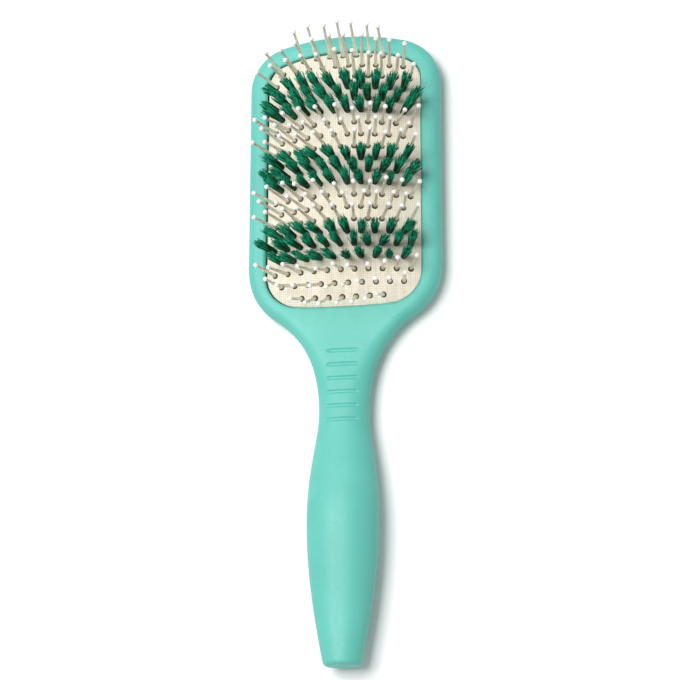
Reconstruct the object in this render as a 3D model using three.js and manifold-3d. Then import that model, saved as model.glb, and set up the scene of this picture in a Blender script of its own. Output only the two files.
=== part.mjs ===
// Cushioned paddle brush, lying on its back with the pins up.
// Millimetres. +Y runs from the handle to the head, +Z is up, z = 0 is the surface it lies on.
// The origin is under the middle of the brush's whole length.
import * as THREE from "three";
import { mergeVertices } from "three/addons/utils/BufferGeometryUtils.js";
import Module from "manifold-3d";

const wasm = await Module();
wasm.setup();

// Lengths along the brush, from the top of the head down to the end of the handle
const headLength = 92.6;
const shoulderLength = 21.7;
const throatLength = 37.3;
const swellLength = 41;
const tailLength = 53.3;

// Head, seen from above
const headWidth = 74.4;
const headCornerRadius = 18.5;
const headBowRadius = 90;

// Handle, seen from above
const shoulderWidth = 52;
const neckWidth = 19;
const bellyWidth = 26.8;
const endWidth = 13.8;

// Thickness of head, neck, belly and end, with the height that each bottom lies at
const headThickness = 10.5;
const neckThickness = 12.2;
const neckLift = 0.5;
const bellyThickness = 18.4;
const endThickness = 12.6;
const endLift = 3;
const headSeamHeight = 5.6;

// Rounding of the moulding
const headEdgeRound = 4.6;
const endEdgeRound = 1.6;
const headEdgePower = 2.5;
const handleEdgePower = 2.05;
const crestShare = 0.93;

// Shells and what joins them
const wall = 2.2;
const seamGap = 0.3;
const ribThickness = 1.6;
const pegCount = 4;
const lastPegShare = 0.72;
const bossRadius = 2.6;
const pegRadius = 1.2;
const pegHeight = 3;
const pegClearance = 0.3;

// Window in the front shell, and the cushion's seat behind it
const sideRim = 7.2;
const topRim = 7.3;
const footRim = 3.7;
const windowTopCorner = 9;
const windowFootCorner = 12.8;
const windowTopBow = 67;
const windowFootBow = 300;
const windowChamfer = 1.1;
const seatInset = 0.5;
const seatThickness = 1.2;
const flangeReach = 1.9;
const flangeThickness = 1.5;
const flangeGap = 0.3;

// Cushion
const cushionRise = 6.9;
const cushionEdgeDrop = 0.7;
const canvasThickness = 0.9;
const canvasGap = 0.3;
const canvasEdgeGap = 0.5;
const rubberThickness = 1.5;
const crownSideInset = 0.4;
const crownEndInset = 0.65;
const crownSoftening = 6;
const crownPowerAcross = 1.52;
const crownPowerAlong = 5.4;

// Rows of strands
const tuftBands = 3;
const rowsPerBand = 3;
const mostColumns = 11;
const endRowColumns = 7;
const rowSideMargin = 3.5;
const rowEndMargin = 2.95;
const gridShift = 0.35;
const rowBowFoot = -0.66;
const rowBowHead = 1.4;
const rootDepth = 0.5;
const leanReach = 3.5;

// Ball-tipped pins
const pinLength = 17.8;
const pinBaseRadius = 0.68;
const pinNeckRadius = 0.4;
const ballRadius = 0.85;
const pinSides = 3;

// Tufts of bristle
const tuftLength = 12.6;
const tuftRootSpread = 0.56;
const tuftTipSpread = 1;
const strandBaseRadius = 0.36;
const strandsPerTuft = 4;
const strandSides = 3;
const bandSideGap = 1.9;
const bandSlit = 0.3;

// Grip grooves across the neck
const grooveCount = 6;
const groovePitch = 5.4;
const grooveLength = 12;
const grooveWidth = 1.5;
const grooveDepth = 0.7;
const grooveStart = 13.5;
const grooveSteps = 4;

// Depth by which a cut runs past the face that it opens
const overrun = 5;

// Facets of the lofts, the window, the seam and the pegs
const skinSteps = { tail: 6, swell: 6, throat: 9, cheek: 6, corner: 6, bow: 3, round: 4 };
const hollowSteps = { tail: 4, swell: 4, throat: 6, cheek: 4, corner: 4, bow: 2, round: 2 };
const windowSteps = { corner: 5, bow: 2 };
const seamSteps = 24;
const postSides = 10;

// Places along the brush
const overallLength = headLength + shoulderLength + throatLength + swellLength + tailLength;
const headTop = overallLength / 2;
const shoulderTop = headTop - headLength;
const shoulderY = shoulderTop - shoulderLength;
const neckY = shoulderY - throatLength;
const bellyY = neckY - swellLength;
const endY = bellyY - tailLength;
const windowTop = headTop - topRim;
const windowFoot = shoulderY + footRim;
const windowLength = windowTop - windowFoot;
const windowHalf = headWidth / 2 - sideRim;

// Crown of the cushion and the grid of strands on it
const crownWidth = 2 * (windowHalf - crownSideInset);
const crownLength = windowLength - 2 * crownEndInset;
const rowCount = rowsPerBand * (2 * tuftBands + 1);
const rowPitch = (windowLength - 2 * rowEndMargin) / (rowCount - 1);
const columnPitch = (2 * (windowHalf - canvasEdgeGap - rowSideMargin)) / (mostColumns - 1);
const gridMiddle = (windowTop + windowFoot) / 2 + gridShift;

// Heights in the head
const lipUnderside = headThickness - wall;
const flangeTop = lipUnderside - flangeGap;
const flangeFoot = flangeTop - flangeThickness;
const seatTop = flangeFoot - flangeGap;
const canvasEdge = headThickness - cushionEdgeDrop;
const rubberEdge = canvasEdge - canvasThickness - canvasGap;

// Smooth curve through stations [place, value], flat at each end and at each turn
function smoothThrough(stations) {
  const gaps = stations.slice(1).map((s, i) => s[0] - stations[i][0]);
  const rises = stations.slice(1).map((s, i) => (s[1] - stations[i][1]) / gaps[i]);
  const slopes = stations.map((s, i) => {
    if (i === 0 || i === stations.length - 1 || rises[i - 1] * rises[i] <= 0) return 0;
    return (2 * rises[i - 1] * rises[i]) / (rises[i - 1] + rises[i]);
  });
  return (place) => {
    const last = stations.length - 2;
    const found = stations.findIndex((s, i) => i > last || place < stations[i + 1][0]);
    const i = Math.min(found, last);
    const t = THREE.MathUtils.clamp((place - stations[i][0]) / gaps[i], 0, 1);
    const turn = t * t * (3 - 2 * t);
    const lead = t * (1 - t) * (1 - t) * slopes[i];
    const trail = t * t * (1 - t) * slopes[i + 1];
    return stations[i][1] * (1 - turn) + stations[i + 1][1] * turn + gaps[i] * (lead - trail);
  };
}

// Side view of the moulding: bottom, seam and top heights, edge width and edge power along Y
const flatFoot = windowFoot - topRim;
const bottomAt = smoothThrough([[endY, endLift], [bellyY, 0], [neckY, neckLift], [flatFoot, 0]]);
const topAt = smoothThrough([
  [endY, endLift + endThickness],
  [bellyY, bellyThickness],
  [neckY, neckLift + neckThickness],
  [flatFoot, headThickness],
]);
const seamAt = smoothThrough([
  [endY, endLift + endThickness / 2],
  [bellyY, bellyThickness / 2],
  [neckY, neckLift + neckThickness / 2],
  [flatFoot, headSeamHeight],
]);
const edgeShareAt = smoothThrough([[neckY, 1], [flatFoot, 0]]);

// Right half of the outline, from the handle's end to the top of the head
function halfOutline(steps) {
  const half = headWidth / 2;
  const curve = (from, pullFrom, pullTo, to) => new THREE.CubicBezierCurve(
    new THREE.Vector2(...from),
    new THREE.Vector2(...pullFrom),
    new THREE.Vector2(...pullTo),
    new THREE.Vector2(...to),
  );
  const belly = [bellyWidth / 2, bellyY];
  const neck = [neckWidth / 2, neckY];
  const shoulder = [shoulderWidth / 2, shoulderY];
  const tailShares = { out: 0.52, up: 0.31, back: 0.36 };
  const swellShares = { lead: 0.5, trail: 0.23 };
  const throatShares = { lead: 0.59, in: 0.52, down: 0.155 };
  const shoulderShares = { out: 0.7, up: 0.24, back: 0.44 };
  const end = [endWidth / 2, endY];
  const tail = curve(
    end,
    [THREE.MathUtils.lerp(end[0], belly[0], tailShares.out), endY + tailShares.up * tailLength],
    [belly[0], bellyY - tailShares.back * tailLength],
    belly,
  );
  const swell = curve(
    belly,
    [belly[0], bellyY + swellShares.lead * swellLength],
    [neck[0], neckY - swellShares.trail * swellLength],
    neck,
  );
  const throat = curve(
    neck,
    [neck[0], neckY + throatShares.lead * throatLength],
    [
      THREE.MathUtils.lerp(neck[0], shoulder[0], throatShares.in),
      shoulderY - throatShares.down * throatLength,
    ],
    shoulder,
  );
  const cheek = curve(
    shoulder,
    [
      THREE.MathUtils.lerp(shoulder[0], half, shoulderShares.out),
      shoulderY + shoulderShares.up * shoulderLength,
    ],
    [half, shoulderTop - shoulderShares.back * shoulderLength],
    [half, shoulderTop],
  );
  const corner = bowedCorner(half, headTop, headCornerRadius, headBowRadius, 1);
  return [
    ...tail.getPoints(steps.tail),
    ...swell.getPoints(steps.swell).slice(1),
    ...throat.getPoints(steps.throat).slice(1),
    ...cheek.getPoints(steps.cheek).slice(1),
    ...corner.getPoints(steps.corner),
    ...bowPoints(half, headTop, headCornerRadius, headBowRadius, 1, steps.bow).slice(1),
  ];
}

// Where a side at x = half meets an end bowed with a large radius, by a corner arc
function cornerFrame(half, tip, corner, bow, side) {
  const centreX = half - corner;
  const lean = Math.asin(centreX / (bow - corner));
  const centreY = tip - side * (bow - (bow - corner) * Math.cos(lean));
  return { centreX, centreY, lean };
}

// Corner arc, from the side round to the bowed end
function bowedCorner(half, tip, corner, bow, side) {
  const { centreX, centreY, lean } = cornerFrame(half, tip, corner, bow, side);
  return new THREE.ArcCurve(centreX, centreY, corner, 0, side * (Math.PI / 2 - lean), side < 0);
}

// Points of the bowed end, from its corner to the centre line
function bowPoints(half, tip, corner, bow, side, steps) {
  const { lean } = cornerFrame(half, tip, corner, bow, side);
  return Array.from({ length: steps + 1 }, (_, i) => {
    const angle = lean * (1 - i / steps);
    return new THREE.Vector2(bow * Math.sin(angle), tip - side * bow * (1 - Math.cos(angle)));
  });
}

// Outline of the window, grown outwards by a distance, as a closed list of points
function windowOutline(grow, steps) {
  const half = windowHalf + grow;
  const top = windowTop + grow;
  const foot = windowFoot - grow;
  const footCorner = windowFootCorner + grow;
  const topCorner = windowTopCorner + grow;
  const footBow = windowFootBow + grow;
  const topBow = windowTopBow + grow;
  const right = [
    ...bowPoints(half, foot, footCorner, footBow, -1, steps.bow).reverse(),
    ...bowedCorner(half, foot, footCorner, footBow, -1).getPoints(steps.corner).reverse().slice(1),
    ...bowedCorner(half, top, topCorner, topBow, 1).getPoints(steps.corner),
    ...bowPoints(half, top, topCorner, topBow, 1, steps.bow).slice(1),
  ];
  const left = right.slice(1, -1).reverse().map((p) => new THREE.Vector2(-p.x, p.y));
  return [...right, ...left];
}

// Outward normals along the half outline, square to it at the centre line
function outwardNormals(points) {
  return points.map((p, i) => {
    if (i === points.length - 1) return new THREE.Vector2(0, 1);
    const before = points[Math.max(i - 1, 0)];
    const after = points[i + 1];
    const run = after.clone().sub(before).normalize();
    return new THREE.Vector2(run.y, -run.x);
  });
}

// Sections of the moulding, one for each point of the half outline.
// Each is a list of right-hand points from the bottom crest round the edge to the top crest.
function sections(inset, steps) {
  const outline = halfOutline(steps);
  const normals = outwardNormals(outline);
  const rounding = [[1, 0], [1 - Math.SQRT1_2, 1 - Math.SQRT1_2], [0, 1]];
  const made = [];
  outline.forEach((point, i) => {
    const depths = i === 0 ? rounding : [[0, 0]];
    depths.forEach(([shrinkShare, riseShare]) => {
      const shrink = inset + shrinkShare * endEdgeRound;
      const rise = i === 0 ? inset + riseShare * endEdgeRound : 0;
      const edge = point.clone().addScaledVector(normals[i], -shrink);
      if (i === 0) edge.y = endY + rise;
      made.push(sectionAt(edge, normals[i], shrink, steps.round));
    });
  });
  return made;
}

// One section: two quarter ovals, above and below the seam
function sectionAt(edge, normal, shrink, roundSteps) {
  const handleShare = edgeShareAt(edge.y);
  const power = THREE.MathUtils.lerp(headEdgePower, handleEdgePower, handleShare);
  const width = THREE.MathUtils.lerp(headEdgeRound - shrink, crestShare * edge.x, handleShare);
  const points = [];
  for (let k = -roundSteps; k <= roundSteps; k += 1) {
    const angle = (Math.abs(k) / roundSteps) * (Math.PI / 2);
    const inward = 1 - Math.pow(Math.cos(angle), 2 / power);
    const upward = Math.pow(Math.sin(angle), 2 / power);
    const plan = edge.clone().addScaledVector(normal, -width * inward);
    const seam = seamAt(plan.y);
    const far = k < 0 ? bottomAt(plan.y) + shrink : topAt(plan.y) - shrink;
    const x = normal.x < Number.EPSILON ? 0 : plan.x;
    points.push(new THREE.Vector3(x, plan.y, THREE.MathUtils.lerp(seam, far, upward)));
  }
  return points;
}

// Closed loft through the sections and their mirror images
function loft(made) {
  const across = made[0].length;
  const tip = made.length - 1;
  const positions = [];
  const vertex = (x, y, z) => {
    positions.push(x, y, z);
    return positions.length / 3 - 1;
  };
  const right = made.map((section) => section.map((p) => vertex(p.x, p.y, p.z)));
  const left = made.map((section, i) => section.map((p, k) => {
    return i === tip ? right[i][k] : vertex(-p.x, p.y, p.z);
  }));
  const faces = [];
  const quad = (a, b, c, d) => faces.push(a, b, c, a, c, d);
  for (let i = 0; i < tip; i += 1) {
    for (let k = 0; k < across - 1; k += 1) {
      quad(right[i][k], right[i + 1][k], right[i + 1][k + 1], right[i][k + 1]);
      quad(left[i][k], left[i][k + 1], left[i + 1][k + 1], left[i + 1][k]);
    }
    quad(left[i][0], left[i + 1][0], right[i + 1][0], right[i][0]);
    quad(right[i][across - 1], right[i + 1][across - 1], left[i + 1][across - 1], left[i][across - 1]);
  }
  for (let k = 0; k < across - 1; k += 1) {
    quad(left[0][k], right[0][k], right[0][k + 1], left[0][k + 1]);
  }
  return geometryOf(positions, faces);
}

// Indexed geometry of positions and triangles
function geometryOf(positions, faces) {
  const geometry = new THREE.BufferGeometry();
  geometry.setAttribute("position", new THREE.Float32BufferAttribute(positions, 3));
  geometry.setIndex(faces);
  return geometry;
}

// Solid of a closed geometry
function solid(geometry) {
  const bare = geometry.clone();
  bare.deleteAttribute("normal");
  bare.deleteAttribute("uv");
  const merged = mergeVertices(bare);
  return new wasm.Manifold(new wasm.Mesh({
    numProp: 3,
    vertProperties: new Float32Array(merged.attributes.position.array),
    triVerts: new Uint32Array(merged.index.array),
  }));
}

// Geometry of a solid
function geometryFrom(made) {
  const mesh = made.getMesh();
  return geometryOf(Array.from(mesh.vertProperties), Array.from(mesh.triVerts));
}

// Upright prism over a closed list of points
function prism(points, low, high) {
  const geometry = new THREE.ExtrudeGeometry(new THREE.Shape(points), {
    depth: high - low,
    bevelEnabled: false,
    steps: 1,
  });
  return solid(geometry.translate(0, 0, low));
}

// Flared block between two heights, from one closed list of points to another as long
function flare(lowPoints, highPoints, low, high) {
  const count = lowPoints.length;
  const positions = [];
  lowPoints.forEach((p) => positions.push(p.x, p.y, low));
  highPoints.forEach((p) => positions.push(p.x, p.y, high));
  const faces = [];
  for (let i = 0; i < count; i += 1) {
    const next = (i + 1) % count;
    faces.push(i, next, count + next, i, count + next, count + i);
  }
  THREE.ShapeUtils.triangulateShape(lowPoints, []).forEach(([a, b, c]) => {
    faces.push(a, c, b, count + a, count + b, count + c);
  });
  return solid(geometryOf(positions, faces));
}

// Upright cylinder
function post(radius, low, high, x, y) {
  const geometry = new THREE.CylinderGeometry(radius, radius, high - low, postSides);
  return solid(geometry.rotateX(Math.PI / 2).translate(x, y, (low + high) / 2));
}

// Block between two corners
function block(low, high) {
  const size = new THREE.Vector3().subVectors(high, low);
  const middle = new THREE.Vector3().addVectors(low, high).multiplyScalar(1 / 2);
  return solid(new THREE.BoxGeometry(size.x, size.y, size.z).translate(middle.x, middle.y, middle.z));
}

// Everything below the seam surface, moved up by a distance
function belowSeam(lift) {
  const profile = [];
  for (let i = 0; i <= seamSteps; i += 1) {
    const y = THREE.MathUtils.lerp(endY, flatFoot, i / seamSteps);
    profile.push(new THREE.Vector2(y, seamAt(y) + lift));
  }
  profile.unshift(new THREE.Vector2(endY - overrun, seamAt(endY) + lift));
  profile.push(new THREE.Vector2(headTop + overrun, headSeamHeight + lift));
  profile.push(new THREE.Vector2(headTop + overrun, -overrun));
  profile.push(new THREE.Vector2(endY - overrun, -overrun));
  const geometry = new THREE.ExtrudeGeometry(new THREE.Shape(profile), {
    depth: headWidth + 2 * overrun,
    bevelEnabled: false,
    steps: 1,
  });
  const turn = new THREE.Matrix4().makeBasis(
    new THREE.Vector3(0, 1, 0),
    new THREE.Vector3(0, 0, 1),
    new THREE.Vector3(1, 0, 0),
  );
  return solid(geometry.applyMatrix4(turn).translate(-headWidth / 2 - overrun, 0, 0));
}

const skin = solid(loft(sections(0, skinSteps)));
const core = solid(loft(sections(wall / 2, hollowSteps)));
const hollow = solid(loft(sections(wall, hollowSteps)));

// Places of the pegs that weld the two shells: one in the throat, the rest down the handle
function pegPlaces() {
  const throatPeg = (shoulderY + neckY) / 2;
  const lowest = THREE.MathUtils.lerp(bellyY, endY, lastPegShare);
  return Array.from({ length: pegCount }, (_, i) => {
    return THREE.MathUtils.lerp(throatPeg, lowest, i / (pegCount - 1));
  });
}

// Places of the cross ribs, halfway between the pegs
function ribPlaces() {
  const pegs = pegPlaces();
  return pegs.slice(1).map((y, i) => (y + pegs[i]) / 2);
}

// Slab across the whole brush at one place along it
function crossSlab(y, thickness) {
  return block(
    new THREE.Vector3(-headWidth / 2, y - thickness / 2, -overrun),
    new THREE.Vector3(headWidth / 2, y + thickness / 2, bellyThickness + overrun),
  );
}

// Wall that follows the window outline, between two heights
function windowWall(grow, thickness, low, high) {
  const outer = prism(windowOutline(grow + thickness, windowSteps), low, high);
  return outer.subtract(prism(windowOutline(grow, windowSteps), low - overrun, high + overrun));
}

// Lower half of the moulding: flat back, ribs, peg sockets and the cushion's seat
function makeBackShell() {
  const below = belowSeam(-seamGap);
  let shell = skin.intersect(below).subtract(hollow);
  ribPlaces().forEach((y) => {
    shell = shell.add(core.intersect(crossSlab(y, ribThickness)).intersect(below));
  });
  shell = shell.add(windowWall(seatInset, seatThickness, wall / 2, seatTop));
  pegPlaces().forEach((y) => {
    const mouth = seamAt(y) - seamGap;
    const floor = bottomAt(y) + wall / 2;
    const depth = pegHeight + pegClearance;
    const socket = post(pegRadius + pegClearance, mouth - depth, mouth + overrun, 0, y);
    shell = shell.add(post(bossRadius, floor, mouth, 0, y)).subtract(socket);
  });
  return shell;
}

// Grooves of the thumb grip, cut to one depth under the curved top of the neck
function gripGrooves() {
  const floor = solid(loft(sections(grooveDepth, skinSteps)));
  const bend = (grooveLength - grooveWidth) / 2;
  return Array.from({ length: grooveCount }, (_, i) => {
    const y = shoulderY - grooveStart - i * groovePitch;
    const slot = new THREE.Shape();
    slot.absarc(bend, y, grooveWidth / 2, -Math.PI / 2, Math.PI / 2);
    slot.absarc(-bend, y, grooveWidth / 2, Math.PI / 2, (3 * Math.PI) / 2);
    const points = slot.extractPoints(grooveSteps).shape;
    return prism(points, seamAt(y), topAt(y) + overrun).subtract(floor);
  });
}

// Window through the rim, with a chamfer round its outer edge that a flared block cuts
function windowCut() {
  const straight = prism(windowOutline(0, windowSteps), -overrun, headThickness + overrun);
  const flared = flare(
    windowOutline(-windowChamfer, windowSteps),
    windowOutline(2 * windowChamfer, windowSteps),
    headThickness - 2 * windowChamfer,
    headThickness + windowChamfer,
  );
  return straight.add(flared);
}

// Upper half of the moulding: rim, window, ribs, pegs and grip grooves
function makeFrontShell() {
  const below = belowSeam(0);
  let shell = skin.subtract(below).subtract(hollow).subtract(windowCut());
  ribPlaces().forEach((y) => {
    shell = shell.add(core.intersect(crossSlab(y, ribThickness)).subtract(below));
  });
  pegPlaces().forEach((y) => {
    const ceiling = topAt(y) - wall / 2;
    const seam = seamAt(y);
    shell = shell.add(post(bossRadius, seam, ceiling, 0, y));
    shell = shell.add(post(pegRadius, seam - seamGap - pegHeight, seam + pegHeight, 0, y));
  });
  gripGrooves().forEach((groove) => {
    shell = shell.subtract(groove);
  });
  return shell;
}

// Rise of the cushion's crown above its edge
function crown(x, y) {
  const soft = (reach) => {
    return Math.pow(reach * reach + crownSoftening * crownSoftening, crownPowerAcross / 2);
  };
  const across = (soft(x) - soft(0)) / (soft(crownWidth / 2) - soft(0));
  const along = Math.pow(Math.abs(y - gridMiddle) / (crownLength / 2), crownPowerAlong);
  return cushionRise * Math.max(1 - across, 0) * Math.max(1 - along, 0);
}

// Lines of the grids that the crowned surfaces are made on, as shares of half the crown
const canvasGrid = {
  acrossShares: [0, 0.22, 0.45, 0.7, 1, 1.1],
  alongShares: [0, 0.45, 0.68, 0.83, 0.93, 1, 1.1],
};
const airGrid = {
  acrossShares: [0, 0.45, 1, 1.1],
  alongShares: [0, 0.68, 0.93, 1.1],
};

// Crowned block over the window and beyond: its top is at a height plus the crown, and its
// underside is flat, or follows the top where it has a thickness
function domedSheet(top, grid, thickness) {
  const mirrored = (shares) => [...shares.slice(1).reverse().map((share) => -share), ...shares];
  const xs = mirrored(grid.acrossShares).map((share) => (share * crownWidth) / 2);
  const ys = mirrored(grid.alongShares).map((share) => gridMiddle + (share * crownLength) / 2);
  const positions = [];
  const layer = (height) => xs.map((x) => ys.map((y) => {
    positions.push(x, y, height(x, y));
    return positions.length / 3 - 1;
  }));
  const upper = layer((x, y) => top + crown(x, y));
  const lower = layer((x, y) => (thickness ? top - thickness + crown(x, y) : -overrun));
  const faces = [];
  const quad = (a, b, c, d) => faces.push(a, b, c, a, c, d);
  const lastX = xs.length - 1;
  const lastY = ys.length - 1;
  for (let i = 0; i < lastX; i += 1) {
    for (let j = 0; j < lastY; j += 1) {
      quad(upper[i][j], upper[i + 1][j], upper[i + 1][j + 1], upper[i][j + 1]);
      quad(lower[i][j], lower[i][j + 1], lower[i + 1][j + 1], lower[i + 1][j]);
    }
    quad(lower[i][0], lower[i + 1][0], upper[i + 1][0], upper[i][0]);
    quad(lower[i + 1][lastY], lower[i][lastY], upper[i][lastY], upper[i + 1][lastY]);
  }
  for (let j = 0; j < lastY; j += 1) {
    quad(lower[0][j + 1], lower[0][j], upper[0][j], upper[0][j + 1]);
    quad(lower[lastX][j], lower[lastX][j + 1], upper[lastX][j + 1], upper[lastX][j]);
  }
  return solid(geometryOf(positions, faces));
}

// Prism over the cushion from one height up, inside the window by a gap
function cushionZone(gap, low) {
  return prism(windowOutline(-gap, windowSteps), low, headThickness + cushionRise + overrun);
}

// Rubber diaphragm with a skirt, and the flange that the shells clamp
function makeRubberCushion() {
  const inside = canvasEdgeGap + rubberThickness;
  const outer = domedSheet(rubberEdge, canvasGrid).intersect(cushionZone(canvasEdgeGap, flangeFoot));
  const airTop = rubberEdge - rubberThickness;
  const air = domedSheet(airTop, airGrid).intersect(cushionZone(inside, 0));
  const flange = windowWall(-inside, inside + flangeReach, flangeFoot, flangeTop);
  return outer.subtract(air).add(flange);
}

// Block that cuts one tuft band out of the canvas, grown by a slit
function bandBlock(band, slit) {
  const firstRow = rowsPerBand * (2 * band + 1);
  const foot = rowY(firstRow - 1 / 2) - slit;
  const head = rowY(firstRow + rowsPerBand - 1 / 2) + slit;
  const side = windowHalf - canvasEdgeGap - bandSideGap + slit;
  return block(
    new THREE.Vector3(-side, foot, 0),
    new THREE.Vector3(side, head, headThickness + cushionRise + overrun),
  );
}

// Height along the brush of a row of strands on the centre line
function rowY(row) {
  return gridMiddle + (row - (rowCount - 1) / 2) * rowPitch;
}

// Feet of the strands in one row, on the crown
function rowFeet(row) {
  const isEndRow = row === 0 || row === rowCount - 1;
  const columns = isEndRow ? endRowColumns : mostColumns - (row % 2);
  const halfRow = ((mostColumns - 1) / 2) * columnPitch;
  const bow = THREE.MathUtils.lerp(rowBowFoot, rowBowHead, Math.sqrt(row / (rowCount - 1)));
  return Array.from({ length: columns }, (_, i) => {
    const x = (i - (columns - 1) / 2) * columnPitch;
    const y = rowY(row) - bow * (x / halfRow) * (x / halfRow);
    return new THREE.Vector3(x, y, canvasEdge + crown(x, y));
  });
}

// Direction square to the crown, taken over the stretch of cushion that leans a strand
function crownNormal(foot) {
  const rise = (x, y) => crown(foot.x + x, foot.y + y) - crown(foot.x - x, foot.y - y);
  return new THREE.Vector3(-rise(leanReach, 0), -rise(0, leanReach), 2 * leanReach).normalize();
}

// Adds one tapered strand to a list of positions and faces: rings of [distance, radius],
// and a pointed end where the last radius is zero
function addStrand(mesh, foot, direction, rings, sides) {
  const side = new THREE.Vector3(1, 0, 0).cross(direction).normalize();
  const front = new THREE.Vector3().crossVectors(direction, side);
  const vertex = (distance, radius, angle) => {
    const p = foot.clone().addScaledVector(direction, distance);
    p.addScaledVector(side, radius * Math.cos(angle)).addScaledVector(front, radius * Math.sin(angle));
    mesh.positions.push(p.x, p.y, p.z);
    return mesh.positions.length / 3 - 1;
  };
  const made = rings.map(([distance, radius]) => {
    const corners = radius > 0 ? sides : 1;
    return Array.from({ length: corners }, (_, i) => {
      return vertex(distance, radius, (i / sides) * 2 * Math.PI);
    });
  });
  const last = made[made.length - 1];
  for (let r = 0; r < made.length - 1; r += 1) {
    for (let i = 0; i < sides; i += 1) {
      const next = (i + 1) % sides;
      const [low, high] = [made[r], made[r + 1]];
      if (high.length === 1) {
        mesh.faces.push(low[i], low[next], high[0]);
      } else {
        mesh.faces.push(low[i], low[next], high[next], low[i], high[next], high[i]);
      }
    }
  }
  for (let i = 1; i < sides - 1; i += 1) {
    mesh.faces.push(made[0][0], made[0][i + 1], made[0][i]);
    if (last.length > 1) mesh.faces.push(last[0], last[i], last[i + 1]);
  }
}

// Pin with its ball tip, from inside the canvas
function addPin(mesh, foot) {
  const rings = [
    [-rootDepth, pinBaseRadius],
    [pinLength - 2 * ballRadius, pinNeckRadius],
    [pinLength - ballRadius, ballRadius],
    [pinLength, 0],
  ];
  addStrand(mesh, foot, crownNormal(foot), rings, pinSides);
}

// Tuft of strands that spread towards their tips
function addTuft(mesh, foot) {
  const direction = crownNormal(foot);
  const side = new THREE.Vector3(0, 1, 0).cross(direction).normalize();
  const front = new THREE.Vector3().crossVectors(direction, side);
  for (let i = 0; i < strandsPerTuft; i += 1) {
    const angle = (i / strandsPerTuft) * 2 * Math.PI;
    const away = side.clone().multiplyScalar(Math.cos(angle)).addScaledVector(front, Math.sin(angle));
    const root = foot.clone().addScaledVector(away, tuftRootSpread);
    const tip = foot.clone().addScaledVector(direction, tuftLength).addScaledVector(away, tuftTipSpread);
    const run = tip.sub(root);
    const rings = [[-rootDepth, strandBaseRadius], [run.length(), 0]];
    addStrand(mesh, root, run.normalize(), rings, strandSides);
  }
}

// Rows of one band, counted from the handle: even bands hold pins, odd bands hold tufts
function bandRows(band) {
  return Array.from({ length: rowsPerBand }, (_, i) => band * rowsPerBand + i);
}

// Canvas with its bands of pins, open where the tuft bands lie
function makePinField() {
  let canvas = domedSheet(canvasEdge, canvasGrid, canvasThickness);
  canvas = canvas.intersect(cushionZone(canvasEdgeGap, 0));
  for (let band = 0; band < tuftBands; band += 1) canvas = canvas.subtract(bandBlock(band, bandSlit));
  const strands = { positions: [], faces: [] };
  for (let band = 0; band <= tuftBands; band += 1) {
    bandRows(2 * band).forEach((row) => rowFeet(row).forEach((foot) => addPin(strands, foot)));
  }
  return canvas.add(solid(geometryOf(strands.positions, strands.faces)));
}

// One band of tufts on its slice of the canvas
function makeTuftBand(band) {
  const slice = domedSheet(canvasEdge, canvasGrid, canvasThickness).intersect(bandBlock(band, 0));
  const strands = { positions: [], faces: [] };
  bandRows(2 * band + 1).forEach((row) => rowFeet(row).forEach((foot) => addTuft(strands, foot)));
  return slice.add(solid(geometryOf(strands.positions, strands.faces)));
}

// Named mesh of a solid in one finish
function part(name, made, finish) {
  const mesh = new THREE.Mesh(geometryFrom(made), new THREE.MeshStandardMaterial(finish));
  mesh.name = name;
  return mesh;
}

const shellFinish = { color: 0x76d2c4, roughness: 0.55, metalness: 0 };
const rubberFinish = { color: 0xd9cdb6, roughness: 0.8, metalness: 0 };
const canvasFinish = { color: 0xe9e1cc, roughness: 0.9, metalness: 0 };
const bristleFinish = { color: 0x06604a, roughness: 0.5, metalness: 0 };

const moulding = new THREE.Group();
moulding.add(part("front_shell", makeFrontShell(), shellFinish));
moulding.add(part("back_shell", makeBackShell(), shellFinish));

const cushion = new THREE.Group();
cushion.add(part("rubber_cushion", makeRubberCushion(), rubberFinish));
cushion.add(part("pin_field", makePinField(), canvasFinish));
["handle_tuft_band", "middle_tuft_band", "head_tuft_band"].forEach((name, band) => {
  cushion.add(part(name, makeTuftBand(band), bristleFinish));
});

const brush = new THREE.Group();
brush.add(moulding, cushion);

export default brush;
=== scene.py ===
"""Looks of a cushioned paddle brush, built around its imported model. Lengths are in metres.

The brush lies on its back: +Y runs from the handle to the head and +Z is the way the pins point.
"""

import bisect
import logging
import math
import random
from dataclasses import dataclass, field, replace
from enum import Enum
from typing import Callable, Sequence

import bmesh
import bpy
from mathutils import Matrix, Vector
from mathutils.bvhtree import BVHTree
from mathutils.geometry import interpolate_bezier

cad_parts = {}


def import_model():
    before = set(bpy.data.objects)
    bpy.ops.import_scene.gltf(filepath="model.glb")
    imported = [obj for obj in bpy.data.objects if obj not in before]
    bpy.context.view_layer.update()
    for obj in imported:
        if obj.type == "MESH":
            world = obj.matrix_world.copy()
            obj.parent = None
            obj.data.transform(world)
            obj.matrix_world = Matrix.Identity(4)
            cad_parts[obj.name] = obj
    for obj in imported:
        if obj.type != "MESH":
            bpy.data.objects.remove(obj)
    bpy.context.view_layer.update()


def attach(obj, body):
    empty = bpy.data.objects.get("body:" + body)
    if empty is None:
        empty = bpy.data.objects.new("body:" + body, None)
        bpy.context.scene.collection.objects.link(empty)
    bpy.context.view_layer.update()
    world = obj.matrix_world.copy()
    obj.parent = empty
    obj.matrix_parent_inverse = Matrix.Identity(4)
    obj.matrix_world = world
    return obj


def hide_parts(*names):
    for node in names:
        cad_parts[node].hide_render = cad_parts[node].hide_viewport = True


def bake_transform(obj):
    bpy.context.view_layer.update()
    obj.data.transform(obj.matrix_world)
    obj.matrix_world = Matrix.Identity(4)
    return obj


LOG = logging.getLogger("brush")
SHADE = "shade"
TOUCHING = 1e-6

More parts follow.
